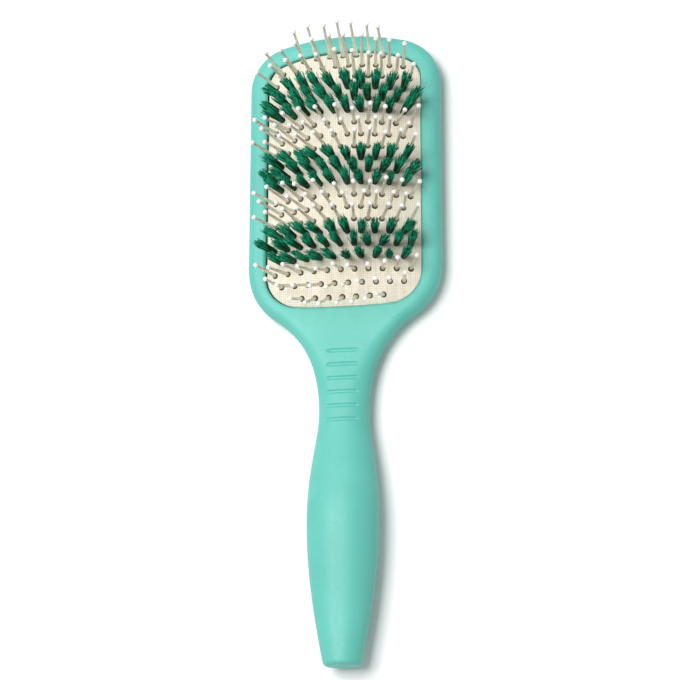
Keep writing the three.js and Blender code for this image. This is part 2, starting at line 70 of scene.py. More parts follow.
Curve = Callable[[float], float]
Span = tuple[float, float]
Colour = tuple[float, float, float, float]
Socket = bpy.types.NodeSocket
Inputs = dict[str | int, object]


class Body(Enum):
    """CAD bodies that pieces ride on."""

    PADDLE = "paddle"
    CUSHION = "cushion"


class Slot(Enum):
    """Material slots."""

    SHELL = "shell"
    RUBBER = "rubber"
    CANVAS = "canvas"
    PIN = "pin_nylon"
    BALL = "ball_tip"
    BRISTLE = "bristle"


class Side(Enum):
    """Which half of the moulding a shell is."""

    FRONT = 1
    BACK = -1


# Numbers and curves


def mix(a: float, b: float, share: float) -> float:
    """Returns the value at a share of the way from a to b."""
    return a + (b - a) * share


def ease(share: float) -> float:
    """Returns a share with a soft start and a soft end."""
    return share * share * (3 - 2 * share)


def smooth_through(stations: Sequence[tuple[float, float]]) -> Curve:
    """Makes a smooth curve through stations, flat at each end and at each turn.

    Args:
        stations: Pairs of place and value, in rising order of place.

    Returns:
        A function from place to value.
    """
    gap_shade = [b[0] - a[0] for a, b in zip(stations, stations[1:])]
    rises = [(b[1] - a[1]) / gap for a, b, gap in zip(stations, stations[1:], gap_shade)]
    slopes = [0.0] * len(stations)
    for i in range(1, len(stations) - 1):
        if rises[i - 1] * rises[i] > 0:
            slopes[i] = 2 * rises[i - 1] * rises[i] / (rises[i - 1] + rises[i])

    def value(place: float) -> float:
        """Returns the curve's value at a place."""
        i = 0
        while i < len(gap_shade) - 1 and place >= stations[i + 1][0]:
            i += 1
        t = min(max((place - stations[i][0]) / gap_shade[i], 0.0), 1.0)
        turn = ease(t)
        lead = t * (1 - t) ** 2 * slopes[i]
        trail = t * t * (1 - t) * slopes[i + 1]
        return mix(stations[i][1], stations[i + 1][1], turn) + gap_shade[i] * (lead - trail)

    return value


def resample(points: Sequence[Vector], count: int) -> list[Vector]:
    """Spreads points evenly along a line of points.

    Args:
        points: The line.
        count: How many points to return, its two ends among them.

    Returns:
        The evenly spread points.
    """
    reached = [0.0]
    for a, b in zip(points, points[1:]):
        reached.append(reached[-1] + (b - a).length)
    spread = []
    i = 0
    for k in range(count):
        wanted = reached[-1] * k / (count - 1)
        while i < len(points) - 2 and reached[i + 1] < wanted:
            i += 1
        share = (wanted - reached[i]) / (reached[i + 1] - reached[i])
        spread.append(points[i].lerp(points[i + 1], share))
    return spread


def bowed_corner(
    half: float, tip: float, corner: float, bow: float, side: int, steps: int
) -> list[Vector]:
    """Rounds a straight side at x = half into a bowed end.

    Args:
        half: Half width.
        tip: Place of the bowed end on the centre line.
        corner: Radius of the corner.
        bow: Radius of the bowed end.
        side: 1 for an end towards +Y, -1 for one towards -Y.
        steps: Steps of the corner and of the bow.

    Returns:
        Points from the side round the corner and along the bow to the centre line.
    """
    centre_x = half - corner
    lean = math.asin(centre_x / (bow - corner))
    centre_y = tip - side * (bow - (bow - corner) * math.cos(lean))
    points = []
    for i in range(steps + 1):
        angle = (math.pi / 2 - lean) * i / steps
        x = centre_x + corner * math.cos(angle)
        points.append(Vector((x, centre_y + side * corner * math.sin(angle))))
    for i in range(1, steps + 1):
        angle = lean * (1 - i / steps)
        drop = bow * (1 - math.cos(angle))
        points.append(Vector((bow * math.sin(angle), tip - side * drop)))
    return points


def bezier(
    start: Vector, lead: Span, trail: Span, end: Vector, steps: int
) -> list[Vector]:
    """Draws a Bezier curve.

    Args:
        start: Where it begins.
        lead: Its first handle.
        trail: Its second handle.
        end: Where it ends.
        steps: Steps along it.

    Returns:
        The points.
    """
    return list(interpolate_bezier(start, Vector(lead), Vector(trail), end, steps + 1))


# Meshes


def grid_surface(
    rows: int, columns: int, place: Callable[[int, int], Vector]
) -> bmesh.types.BMesh:
    """Makes a grid and puts each of its points in place.

    Args:
        rows: Number of rows of points.
        columns: Number of points in a row.
        place: Gives the place of the point at a row and a column.

    Returns:
        The new mesh.
    """
    bm = bmesh.new()
    bmesh.ops.create_grid(bm, x_segments=columns - 1, y_segments=rows - 1, size=1)
    bm.verts.ensure_lookup_table()
    for index, vert in enumerate(bm.verts):
        row, column = divmod(index, columns)
        vert.co = place(row, column)
    return bm


def close_by_mirror(bm: bmesh.types.BMesh) -> None:
    """Joins a half mesh to its mirror image at x = 0, and turns its faces outwards.

    Args:
        bm: The right half. Faces that lie in the mirror's plane are left out.
    """
    bmesh.ops.remove_doubles(bm, verts=bm.verts, dist=TOUCHING)
    bmesh.ops.dissolve_degenerate(bm, edges=bm.edges, dist=TOUCHING)
    inner = [f for f in bm.faces if all(abs(v.co.x) < TOUCHING for v in f.verts)]
    bmesh.ops.delete(bm, geom=inner, context="FACES")
    whole = bm.verts[:] + bm.edges[:] + bm.faces[:]
    bmesh.ops.mirror(bm, geom=whole, axis="X", merge_dist=TOUCHING)
    bmesh.ops.remove_doubles(bm, verts=bm.verts, dist=TOUCHING)
    bmesh.ops.recalc_face_normals(bm, faces=bm.faces)


def new_piece(name: str, bm: bmesh.types.BMesh) -> bpy.types.Object:
    """Makes a smooth-shaded object of a mesh, at the origin.

    Args:
        name: Name of the piece.
        bm: Its mesh, which is freed.

    Returns:
        The new object.
    """
    mesh = bpy.data.meshes.new(name)
    bm.to_mesh(mesh)
    bm.free()
    mesh.shade_smooth()
    piece = bpy.data.objects.new(name, mesh)
    bpy.context.scene.collection.objects.link(piece)
    return piece


def turn_to(direction: Vector) -> Matrix:
    """Returns the turn that takes +Z to a direction."""
    return direction.to_track_quat("Z", "Y").to_matrix().to_4x4()


def add_cone(
    bm: bmesh.types.BMesh,
    foot: Vector,
    direction: Vector,
    length: float,
    radii: tuple[float, float],
    sides: int,
) -> list[bmesh.types.BMVert]:
    """Adds a closed tapered rod.

    Args:
        bm: Mesh that it is added to.
        foot: Middle of its foot.
        direction: Unit vector from its foot to its tip.
        length: Its length.
        radii: Radius at the foot and at the tip.
        sides: Number of its sides.

    Returns:
        Its points.
    """
    middle = Matrix.Translation(foot + direction * (length / 2))
    made = bmesh.ops.create_cone(
        bm,
        cap_ends=True,
        segments=sides,
        radius1=radii[0],
        radius2=radii[1],
        depth=length,
        matrix=middle @ turn_to(direction),
    )
    return made["verts"]


def shaded_mesh() -> tuple[bmesh.types.BMesh, bmesh.types.BMLayerItem]:
    """Returns a new mesh, and its layer for each strand's own shade."""
    bm = bmesh.new()
    return bm, bm.verts.layers.float.new(SHADE)


def shade_points(
    verts: Sequence[bmesh.types.BMVert], layer: bmesh.types.BMLayerItem, shade: float
) -> None:
    """Gives the points of a strand its shade."""
    for vert in verts:
        vert[layer] = shade


# Shader helpers


class Shader:
    """A node tree, with short ways to add nodes to it."""

    def __init__(self, tree: bpy.types.NodeTree) -> None:
        """Starts from an existing tree."""
        self.tree = tree

    def fill(self, node: bpy.types.Node, inputs: Inputs) -> None:
        """Fills inputs of a node.

        Args:
            node: The node.
            inputs: Sockets to link, or plain values to set, by name or number of input.
        """
        for key, value in inputs.items():
            if isinstance(value, bpy.types.NodeSocket):
                self.tree.links.new(value, node.inputs[key])
            else:
                node.inputs[key].default_value = value

    def node(
        self, kind: str, inputs: Inputs | None = None, **settings: object
    ) -> bpy.types.Node:
        """Adds a node.

        Args:
            kind: Type name of the node.
            inputs: What its inputs are filled with, as for fill.
            **settings: Properties to set on it first.

        Returns:
            The node.
        """
        made = self.tree.nodes.new(kind)
        for name, value in settings.items():
            setattr(made, name, value)
        self.fill(made, inputs or {})
        return made

    def math(
        self, operation: str, a: "Socket | float", b: "Socket | float" = 0.0
    ) -> Socket:
        """Adds a Math node.

        Args:
            operation: Its operation.
            a: First value.
            b: Second value.

        Returns:
            Its output.
        """
        return self.node("ShaderNodeMath", {0: a, 1: b}, operation=operation).outputs[0]

    def vector_math(self, operation: str, inputs: Inputs) -> Socket:
        """Adds a Vector Math node.

        Args:
            operation: Its operation.
            inputs: What its inputs are filled with, as for fill.

        Returns:
            Its output.
        """
        made = self.node("ShaderNodeVectorMath", inputs, operation=operation)
        return made.outputs[0]

    def ramp(self, value: Socket, span: Span, to: Span = (0.0, 1.0)) -> Socket:
        """Maps a range of values to another.

        Args:
            value: The value.
            span: Low and high end of the range.
            to: What the low and the high end become.

        Returns:
            The mapped value, held within the new range.
        """
        inputs = {
            "Value": value,
            "From Min": span[0],
            "From Max": span[1],
            "To Min": to[0],
            "To Max": to[1],
        }
        return self.node("ShaderNodeMapRange", inputs, clamp=True).outputs["Result"]

    def blend_colours(self, share: Socket, a: Colour, b: Colour) -> Socket:
        """Mixes two colours.

        Args:
            share: Share of the second one.
            a: First colour.
            b: Second colour.

        Returns:
            The mixed colour.
        """
        # Inputs 6 and 7 and output 2 are the node's colours
        inputs = {"Factor": share, 6: a, 7: b}
        return self.node("ShaderNodeMix", inputs, data_type="RGBA").outputs[2]


def new_group(
    name: str, inputs: dict[str, float], outputs: Sequence[str], has_place: bool = True
) -> tuple[Shader, bpy.types.Node, bpy.types.Node]:
    """Starts a shader node group.

    Args:
        name: Name of the group.
        inputs: Named float inputs with their defaults.
        outputs: Names of its float outputs.
        has_place: Whether it takes coordinates too.

    Returns:
        Its shader helper, its input node and its output node.
    """
    tree = bpy.data.node_groups.new(name, "ShaderNodeTree")
    if has_place:
        tree.interface.new_socket(
            "Coordinates", in_out="INPUT", socket_type="NodeSocketVector"
        )
    for label, value in inputs.items():
        made = tree.interface.new_socket(
            label, in_out="INPUT", socket_type="NodeSocketFloat"
        )
        made.default_value = value
    for label in outputs:
        tree.interface.new_socket(label, in_out="OUTPUT", socket_type="NodeSocketFloat")
    shader = Shader(tree)
    return shader, shader.node("NodeGroupInput"), shader.node("NodeGroupOutput")


def fine_grain_group() -> bpy.types.NodeTree:
    """Makes the group for the fine grain of moulded pieces: height, and cloudy tone."""
    shader, taken, given = new_group(
        "fine_grain", {"Grain Scale": 2500.0, "Cloud Scale": 40.0}, ("Height", "Cloud")
    )
    noises = {"Height": ("Grain Scale", 2.0), "Cloud": ("Cloud Scale", 3.0)}
    for output, (scale, detail) in noises.items():
        inputs = {
            "Vector": taken.outputs["Coordinates"],
            "Scale": taken.outputs[scale],
            "Detail": detail,
        }
        noise = shader.node("ShaderNodeTexNoise", inputs)
        shader.fill(given, {output: noise.outputs[0]})
    return shader.tree


def strand_tone_group() -> bpy.types.NodeTree:
    """Makes the group that turns each strand's own shade into a share between two tones."""
    shader, taken, given = new_group("strand_tone", {"Contrast": 1.0}, ("Share",), False)
    shade = shader.node("ShaderNodeAttribute", attribute_name=SHADE)
    centred = shader.math("SUBTRACT", shade.outputs["Fac"], 0.5)
    spread = shader.math("MULTIPLY", centred, taken.outputs["Contrast"])
    shader.fill(given, {"Share": shader.math("ADD", spread, 0.5)})
    return shader.tree


@dataclass(frozen=True)
class Weave:
    """Plain weave with slightly wavering threads, as a shader group."""

    pitch: float = 0.0008
    waver: float = 0.00012
    waver_scale: float = 320.0
    waver_detail: float = 2.0
    middle_share: float = 0.65
    swing_share: float = 0.35
    crown_power: float = 0.5
    gap_span: Span = (0.15, 0.55)
    slub_scales: tuple[float, float, float] = (900.0, 60.0, 60.0)

    def thread(self, shader: Shader, own: Socket, other: Socket, swing: float) -> Socket:
        """Works out the height of the threads that run one way.

        Args:
            shader: The group's shader helper.
            own: Place across the threads, in half turns of the weave.
            other: Place along them, in the same unit.
            swing: How far they rise and fall.

        Returns:
            The height.
        """
        across = shader.math("COSINE", shader.math("MULTIPLY", own, 2.0))
        crown = shader.math("MULTIPLY", shader.math("ADD", across, 1.0), 0.5)
        wave = shader.math(
            "MULTIPLY", shader.math("COSINE", other), shader.math("COSINE", own)
        )
        over = shader.math("ADD", shader.math("MULTIPLY", wave, swing), self.middle_share)
        return shader.math(
            "MULTIPLY", shader.math("POWER", crown, self.crown_power), over
        )

    def group(self) -> bpy.types.NodeTree:
        """Makes the group: height of the threads, a mask of the gaps between them, which the
        canvas darkens as painted shade, and slubs.

        Returns:
            The group.
        """
        shader, taken, given = new_group(
            "woven_cloth",
            {"Thread Pitch": self.pitch, "Waver": self.waver},
            ("Height", "Gap", "Slub"),
        )
        place = taken.outputs["Coordinates"]
        wobble = shader.node(
            "ShaderNodeTexNoise",
            {"Vector": place, "Scale": self.waver_scale, "Detail": self.waver_detail},
        )
        centred = {0: wobble.outputs["Color"], 1: (0.5, 0.5, 0.5)}
        shift = {
            0: shader.vector_math("SUBTRACT", centred),
            "Scale": taken.outputs["Waver"],
        }
        moved = shader.vector_math("ADD", {0: place, 1: shader.vector_math("SCALE", shift)})
        split = shader.node("ShaderNodeSeparateXYZ", {0: moved})
        half_turns = shader.math("DIVIDE", math.pi, taken.outputs["Thread Pitch"])
        x = shader.math("MULTIPLY", split.outputs["X"], half_turns)
        y = shader.math("MULTIPLY", split.outputs["Y"], half_turns)
        height = shader.math(
            "MAXIMUM",
            self.thread(shader, x, y, self.swing_share),
            self.thread(shader, y, x, -self.swing_share),
        )
        stretched = shader.node(
            "ShaderNodeMapping", {"Vector": place, "Scale": self.slub_scales}
        )
        slub = shader.node(
            "ShaderNodeTexNoise", {"Vector": stretched.outputs[0], "Scale": 1.0}
        )
        gap = shader.ramp(height, self.gap_span, (1.0, 0.0))
        shader.fill(given, {"Height": height, "Gap": gap, "Slub": slub.outputs[0]})
        return shader.tree


@dataclass(frozen=True)
class Groups:
    """Shader groups that several finishes share."""

    grain: bpy.types.NodeTree
    weave: bpy.types.NodeTree
    tone: bpy.types.NodeTree


class Surface(Shader):
    """Node tree of a finish's material, with its Principled node and coordinates."""

    def __init__(self, tree: bpy.types.NodeTree, groups: Groups) -> None:
        """Starts from a new material's tree and the shared groups."""
        super().__init__(tree)
        self.groups = groups
        self.principled = tree.nodes["Principled BSDF"]
        self.place = self.node("ShaderNodeTexCoord").outputs["Object"]

    def pattern(
        self, tree: bpy.types.NodeTree, inputs: Inputs | None = None
    ) -> bpy.types.Node:
        """Adds a shared group that reads the object's coordinates.

        Args:
            tree: The group.
            inputs: What its other inputs are filled with, as for fill.

        Returns:
            The group's node.
        """
        every = {"Coordinates": self.place, **(inputs or {})}
        return self.node("ShaderNodeGroup", every, node_tree=tree)

    def finish_with(self, inputs: Inputs) -> None:
        """Fills inputs of the Principled node."""
        self.fill(self.principled, inputs)


# Finishes


@dataclass(frozen=True)
class Finish:
    """What every finish has: a name, two tones, a roughness and a depth of relief."""

    name: str
    tone: Colour
    other_tone: Colour
    roughness: float
    relief: float

    def material(self, groups: Groups) -> bpy.types.Material:
        """Gives the finish's material, and makes it when it is first asked for.

        Args:
            groups: Shared shader groups.

        Returns:
            The material.
        """
        found = bpy.data.materials.get(self.name)
        if found:
            return found
        made = bpy.data.materials.new(self.name)
        made.use_nodes = True
        made.diffuse_color = self.tone
        surface = Surface(made.node_tree, groups)
        surface.finish_with({"Roughness": self.roughness})
        share, height = self.paint(surface)
        colour = surface.blend_colours(share, self.tone, self.other_tone)
        bump = surface.node("ShaderNodeBump", {"Distance": self.relief, "Height": height})
        surface.finish_with({"Base Color": colour, "Normal": bump.outputs["Normal"]})
        return made

    def paint(self, surface: Surface) -> tuple[Socket, Socket]:
        """Adds what a finish has of its own.

        Args:
            surface: The material's surface.

        Returns:
            The share of the other tone, and the height of the relief.
        """
        raise NotImplementedError(self.name)


@dataclass(frozen=True)
class ShellPlastic(Finish):
    """Soft-touch moulded plastic of the paddle."""

    name: str = "teal_moulded_plastic"
    tone: Colour = (0.128, 0.562, 0.478, 1.0)
    other_tone: Colour = (0.110, 0.508, 0.430, 1.0)
    roughness: float = 0.5
    relief: float = 0.000025
    grain_scale: float = 1500.0
    grain_span: Span = (0.3, 0.7)
    cloud_span: Span = (0.35, 0.65)
    roughness_drift: Span = (-0.04, 0.06)
    speckle: float = 0.9
    coat: float = 0.08
    coat_roughness: float = 0.45

    def paint(self, surface: Surface) -> tuple[Socket, Socket]:
        """Adds clouds and specks, an uneven roughness and a thin coat.

        Args:
            surface: The material's surface.

        Returns:
            The share of the other tone, and the height of the relief.
        """
        grain = surface.pattern(
            surface.groups.grain, {"Grain Scale": self.grain_scale}
        )
        height = grain.outputs["Height"]
        cloud = surface.ramp(grain.outputs["Cloud"], self.cloud_span)
        fleck = surface.math("SUBTRACT", height, 0.5)
        share = surface.math("ADD", cloud, surface.math("MULTIPLY", fleck, self.speckle))
        low, high = self.roughness_drift
        rough = surface.ramp(
            height, self.grain_span, (self.roughness + low, self.roughness + high)
        )
        surface.finish_with(
            {
                "Roughness": rough,
                "Coat Weight": self.coat,
                "Coat Roughness": self.coat_roughness,
            }
        )
        return share, height


@dataclass(frozen=True)
class CanvasCloth(Finish):
    """Plain-woven cotton that faces the cushion."""

    name: str = "cream_canvas"
    tone: Colour = (0.925, 0.875, 0.765, 1.0)
    other_tone: Colour = (0.630, 0.560, 0.410, 1.0)
    roughness: float = 0.85
    relief: float = 0.00012
    gap_shade_share: float = 0.95
    slub_share: float = 0.34
    slub_span: Span = (0.35, 0.75)
    mottle_share: float = 0.24
    mottle_span: Span = (0.45, 0.7)
    mottle_scale: float = 190.0
    sheen: float = 0.15
    sheen_roughness: float = 0.6

    def paint(self, surface: Surface) -> tuple[Socket, Socket]:
        """Adds the weave with painted shade in the gaps between its threads, its slubs, faint
        darker clouds and a sheen.

        Args:
            surface: The material's surface.

        Returns:
            The share of the other tone, and the height of the relief.
        """
        weave = surface.pattern(surface.groups.weave)
        grain = surface.pattern(
            surface.groups.grain, {"Cloud Scale": self.mottle_scale}
        )
        # Darker colour in the gaps between threads: painted shade of the weave's hollows.
        gap_shade = surface.math("MULTIPLY", weave.outputs["Gap"], self.gap_shade_share)
        slubs = surface.ramp(weave.outputs["Slub"], self.slub_span, (0.0, self.slub_share))
        # Random darker clouds in the canvas's tone.
        mottle = surface.ramp(
            grain.outputs["Cloud"], self.mottle_span, (0.0, self.mottle_share)
        )
        slubs_and_clouds = surface.math("ADD", slubs, mottle)
        share = surface.math("MINIMUM", surface.math("ADD", gap_shade, slubs_and_clouds), 1.0)
        surface.finish_with(
            {"Sheen Weight": self.sheen, "Sheen Roughness": self.sheen_roughness}
        )
        return share, weave.outputs["Height"]


@dataclass(frozen=True)
class CushionRubber(Finish):
    """Dull rubber of the cushion, dark brown partly as painted shade for the gap round the
    canvas.
    """

    name: str = "rubber_darkened_for_gap_shade"
    # The dark tone also stands in for the shade in the gap round the canvas.
    tone: Colour = (0.085, 0.062, 0.037, 1.0)
    other_tone: Colour = (0.060, 0.045, 0.028, 1.0)
    roughness: float = 0.75
    relief: float = 0.00002

    def paint(self, surface: Surface) -> tuple[Socket, Socket]:
        """Adds a cloudy tone and a fine grain.

        Args:
            surface: The material's surface.

        Returns:
            The share of the other tone, and the height of the relief.
        """
        grain = surface.pattern(surface.groups.grain)
        return grain.outputs["Cloud"], grain.outputs["Height"]


@dataclass(frozen=True)
class Strand(Finish):
    """Nylon, ball or bristle: a tone of its own for each strand, and a little gloss."""

    relief: float = 0.000008
    contrast: float = 1.0
    blotch: float = 0.0
    blotch_scale: float = 700.0
    transmission: float = 0.0
    specular: float = 0.5
    coat: float = 0.0
    coat_roughness: float = 0.12
    shadow: float = 1.0

    def paint(self, surface: Surface) -> tuple[Socket, Socket]:
        """Adds each strand's own tone, blotches, gloss and how dark its shadow is.

        Args:
            surface: The material's surface.

        Returns:
            The share of the other tone, and the height of the relief.
        """
        tone = surface.node(
            "ShaderNodeGroup",
            {"Contrast": self.contrast},
            node_tree=surface.groups.tone,
        )
        grain = surface.pattern(
            surface.groups.grain, {"Cloud Scale": self.blotch_scale}
        )
        patch = surface.math("SUBTRACT", grain.outputs["Cloud"], 0.5)
        patch = surface.math("MULTIPLY", patch, self.blotch)
        surface.finish_with(
            {
                "Specular IOR Level": self.specular,
                "Transmission Weight": self.transmission,
                "Coat Weight": self.coat,
                "Coat Roughness": self.coat_roughness,
            }
        )
        if self.shadow < 1.0:
            is_shadow = surface.node("ShaderNodeLightPath").outputs["Is Shadow Ray"]
            lost = surface.math("MULTIPLY", is_shadow, 1.0 - self.shadow)
            surface.finish_with({"Alpha": surface.math("SUBTRACT", 1.0, lost)})
        return surface.math("ADD", tone.outputs["Share"], patch), grain.outputs["Height"]


NYLON = Strand(
    name="clear_nylon",
    tone=(0.92, 0.88, 0.77, 1.0),
    other_tone=(0.82, 0.77, 0.64, 1.0),
    roughness=0.28,
    blotch=0.8,
    transmission=0.65,
    shadow=0.2,
)
BALL = Strand(
    name="white_ball",
    tone=(0.97, 0.965, 0.95, 1.0),
    other_tone=(0.92, 0.83, 0.70, 1.0),
    roughness=0.3,
    coat=0.4,
)
GREEN_BRISTLE = Strand(
    name="green_bristle",
    tone=(0.000, 0.060, 0.022, 1.0),
    other_tone=(0.022, 0.405, 0.230, 1.0),
    roughness=0.6,
    contrast=1.7,
    blotch=1.6,
    specular=0.15,
    shadow=0.3,
)
# Near-black painted shade for the bottoms of the punched holes, where the rubber below lies in
# shadow.
HOLE_SHADE = Strand(
    name="painted_hole_shade",
    tone=(0.018, 0.012, 0.007, 1.0),
    other_tone=(0.036, 0.026, 0.016, 1.0),
    roughness=0.9,
    specular=0.1,
)


# Shape of the moulding


@dataclass(frozen=True)
class PaddleShape:
    """Driving sizes of the moulding, and the curves that they give."""

    head_length: float = 0.0926
    shoulder_length: float = 0.0217
    throat_length: float = 0.0373
    swell_length: float = 0.041
    tail_length: float = 0.0533
    head_width: float = 0.0744
    head_corner: float = 0.0185
    head_bow: float = 0.090
    shoulder_width: float = 0.052
    neck_width: float = 0.019
    belly_width: float = 0.0268
    end_width: float = 0.0138
    head_thickness: float = 0.0105
    neck_thickness: float = 0.0122
    neck_lift: float = 0.0005
    belly_thickness: float = 0.0184
    end_thickness: float = 0.0126
    end_lift: float = 0.003
    head_seam: float = 0.0056
    head_edge_round: float = 0.0046
    end_edge_round: float = 0.0016
    head_edge_power: float = 2.5
    handle_edge_power: float = 2.05
    crest_share: float = 0.93
    wall: float = 0.0022
    side_rim: float = 0.0072
    top_rim: float = 0.0073
    foot_rim: float = 0.0037
    window_top_corner: float = 0.009
    window_foot_corner: float = 0.0128
    window_top_bow: float = 0.067
    window_foot_bow: float = 0.300
    window_round: float = 0.0011
    bottom_at: Curve = field(init=False)
    top_at: Curve = field(init=False)
    seam_at: Curve = field(init=False)
    handle_share_at: Curve = field(init=False)

    def __post_init__(self) -> None:
        """Works out the side view from the driving sizes."""
        flat_foot = self.window_foot - self.top_rim
        middles = (
            (self.end_y, self.end_lift, self.end_thickness),
            (self.belly_y, 0.0, self.belly_thickness),
            (self.neck_y, self.neck_lift, self.neck_thickness),
        )
        bottoms = [(y, lift) for y, lift, _ in middles] + [(flat_foot, 0.0)]
        tops = [(y, lift + thick) for y, lift, thick in middles]
        seams = [(self.end_y, self.end_lift + self.end_thickness / 2)]
        seams += [(y, lift + thick / 2) for y, lift, thick in middles[1:]]
        curves = {
            "bottom_at": smooth_through(bottoms),
            "top_at": smooth_through(tops + [(flat_foot, self.head_thickness)]),
            "seam_at": smooth_through(seams + [(flat_foot, self.head_seam)]),
            "handle_share_at": smooth_through([(self.neck_y, 1.0), (flat_foot, 0.0)]),
        }
        for name, curve in curves.items():
            object.__setattr__(self, name, curve)

    @property
    def head_top(self) -> float:
        """Place of the top of the head."""
        handle = self.throat_length + self.swell_length + self.tail_length
        return (self.head_length + self.shoulder_length + handle) / 2

    @property
    def shoulder_top(self) -> float:
        """Place where the head's straight sides begin."""
        return self.head_top - self.head_length

    @property
    def shoulder_y(self) -> float:
        """Place of the shoulder."""
        return self.shoulder_top - self.shoulder_length

    @property
    def neck_y(self) -> float:
        """Place of the neck."""
        return self.shoulder_y - self.throat_length

    @property
    def belly_y(self) -> float:
        """Place of the handle's belly."""
        return self.neck_y - self.swell_length

    @property
    def end_y(self) -> float:
        """Place of the handle's end."""
        return self.belly_y - self.tail_length

    @property
    def window_top(self) -> float:
        """Place of the top of the window."""
        return self.head_top - self.top_rim

    @property
    def window_foot(self) -> float:
        """Place of the foot of the window."""
        return self.shoulder_y + self.foot_rim

    @property
    def window_half(self) -> float:
        """Half the width of the window."""
        return self.head_width / 2 - self.side_rim

    def flank_width(self, edge: Vector, shrink: float) -> float:
        """Gives how far the rounded edge reaches inwards at one place.

        Args:
            edge: Place on the outline.
            shrink: Distance inside the outer skin.

        Returns:
            The width.
        """
        flank = max(self.head_edge_round - shrink, 0.0)
        share = self.handle_share_at(edge.y)
        return mix(flank, self.crest_share * max(edge.x, 0.0), share)

    def handle_outline(self, steps: int) -> list[Vector]:
        """Draws the right side of the handle, from its end up to the shoulder.

        Args:
            steps: Steps along the tail. The rest has twice as many.

        Returns:
            The points.
        """
        end = Vector((self.end_width / 2, self.end_y))
        belly = Vector((self.belly_width / 2, self.belly_y))
        neck = Vector((self.neck_width / 2, self.neck_y))
        shoulder = Vector((self.shoulder_width / 2, self.shoulder_y))
        tail_shares = {"out": 0.52, "up": 0.31, "back": 0.36}
        swell_shares = {"lead": 0.5, "trail": 0.23}
        throat_shares = {"lead": 0.59, "inward": 0.52, "down": 0.155}
        tail = bezier(
            end,
            (
                mix(end.x, belly.x, tail_shares["out"]),
                end.y + tail_shares["up"] * self.tail_length,
            ),
            (belly.x, belly.y - tail_shares["back"] * self.tail_length),
            belly,
            steps,
        )
        swell = bezier(
            belly,
            (belly.x, belly.y + swell_shares["lead"] * self.swell_length),
            (neck.x, neck.y - swell_shares["trail"] * self.swell_length),
            neck,
            2 * steps,
        )
        throat = bezier(
            neck,
            (neck.x, neck.y + throat_shares["lead"] * self.throat_length),
            (
                mix(neck.x, shoulder.x, throat_shares["inward"]),
                shoulder.y - throat_shares["down"] * self.throat_length,
            ),
            shoulder,
            2 * steps,
        )
        return tail + swell[1:] + throat[1:]

    def cheek_outline(self, steps: int) -> list[Vector]:
        """Draws the right side from the shoulder up to the head's straight side.

        Args:
            steps: Steps along it.

        Returns:
            The points.
        """
        shoulder = Vector((self.shoulder_width / 2, self.shoulder_y))
        side = Vector((self.head_width / 2, self.shoulder_top))
        shares = {"out": 0.7, "up": 0.24, "back": 0.44}
        lead = (
            mix(shoulder.x, side.x, shares["out"]),
            shoulder.y + shares["up"] * self.shoulder_length,
        )
        trail = (side.x, side.y - shares["back"] * self.shoulder_length)
        return bezier(shoulder, lead, trail, side, steps)

    def head_corner_outline(self, steps: int) -> list[Vector]:
        """Draws the head's corner and bowed top, from the side to the centre line.

        Args:
            steps: Steps of the corner and of the bow.

        Returns:
            The points.
        """
        return bowed_corner(
            self.head_width / 2, self.head_top, self.head_corner, self.head_bow, 1, steps
        )

    def window_parts(self, grow: float, steps: int) -> tuple[list[Vector], list[Vector]]:
        """Draws the window's right half.

        Args:
            grow: Distance by which it is grown outwards.
            steps: Steps of each corner and bow.

        Returns:
            Its foot, from the centre line to the side, and its top, from the side on.
        """
        half = self.window_half + grow
        foot = bowed_corner(
            half,
            self.window_foot - grow,
            self.window_foot_corner + grow,
            self.window_foot_bow + grow,
            -1,
            steps,
        )
        top = bowed_corner(
            half,
            self.window_top + grow,
            self.window_top_corner + grow,
            self.window_top_bow + grow,
            1,
            steps,
        )
        return foot[::-1], top


@dataclass(frozen=True)
class RimPoint:
    """One place on the window's outline, and the way from the opening into the rim."""

    place: Vector
    outward: Vector

    def moved(self, grow: float) -> Vector:
        """Returns the place when the window is grown."""
        return self.place + self.outward * grow


@dataclass(frozen=True)
class Station:
    """One place on the outline, the way out from it, and what its row runs to."""

    edge: Vector
    normal: Vector
    shrink: float = 0.0
    closes_end: bool = False
    rim: RimPoint | None = None


@dataclass(frozen=True)
class ThumbGrooves:
    """Generic cross grooves of the thumb grip on the neck."""

    count: int = 6
    pitch: float = 0.0054
    length: float = 0.012
    width: float = 0.0016
    depth: float = 0.0006
    start: float = 0.0135
    flat_share: float = 0.4

    def reach(self, shape: PaddleShape) -> tuple[float, float]:
        """Returns the lowest and the highest place that the grooves reach."""
        first = shape.shoulder_y - self.start
        last = first - (self.count - 1) * self.pitch
        return last - self.width, first + self.width

    def depth_at(self, plan: Vector, shape: PaddleShape) -> float:
        """Gives the depth of the grooves at one place.

        Args:
            plan: The place, seen from above.
            shape: The moulding that they are cut in.

        Returns:
            The depth, 0 where there is no groove.
        """
        first = shape.shoulder_y - self.start
        number = min(max(round((first - plan.y) / self.pitch), 0), self.count - 1)
        bend = (self.length - self.width) / 2
        past = max(abs(plan.x) - bend, 0.0)
        away = math.hypot(past, plan.y - (first - number * self.pitch))
        share = min(away / (self.width / 2), 1.0)
        rise = max(share - self.flat_share, 0.0) / (1 - self.flat_share)
        return self.depth * (1 - ease(rise))


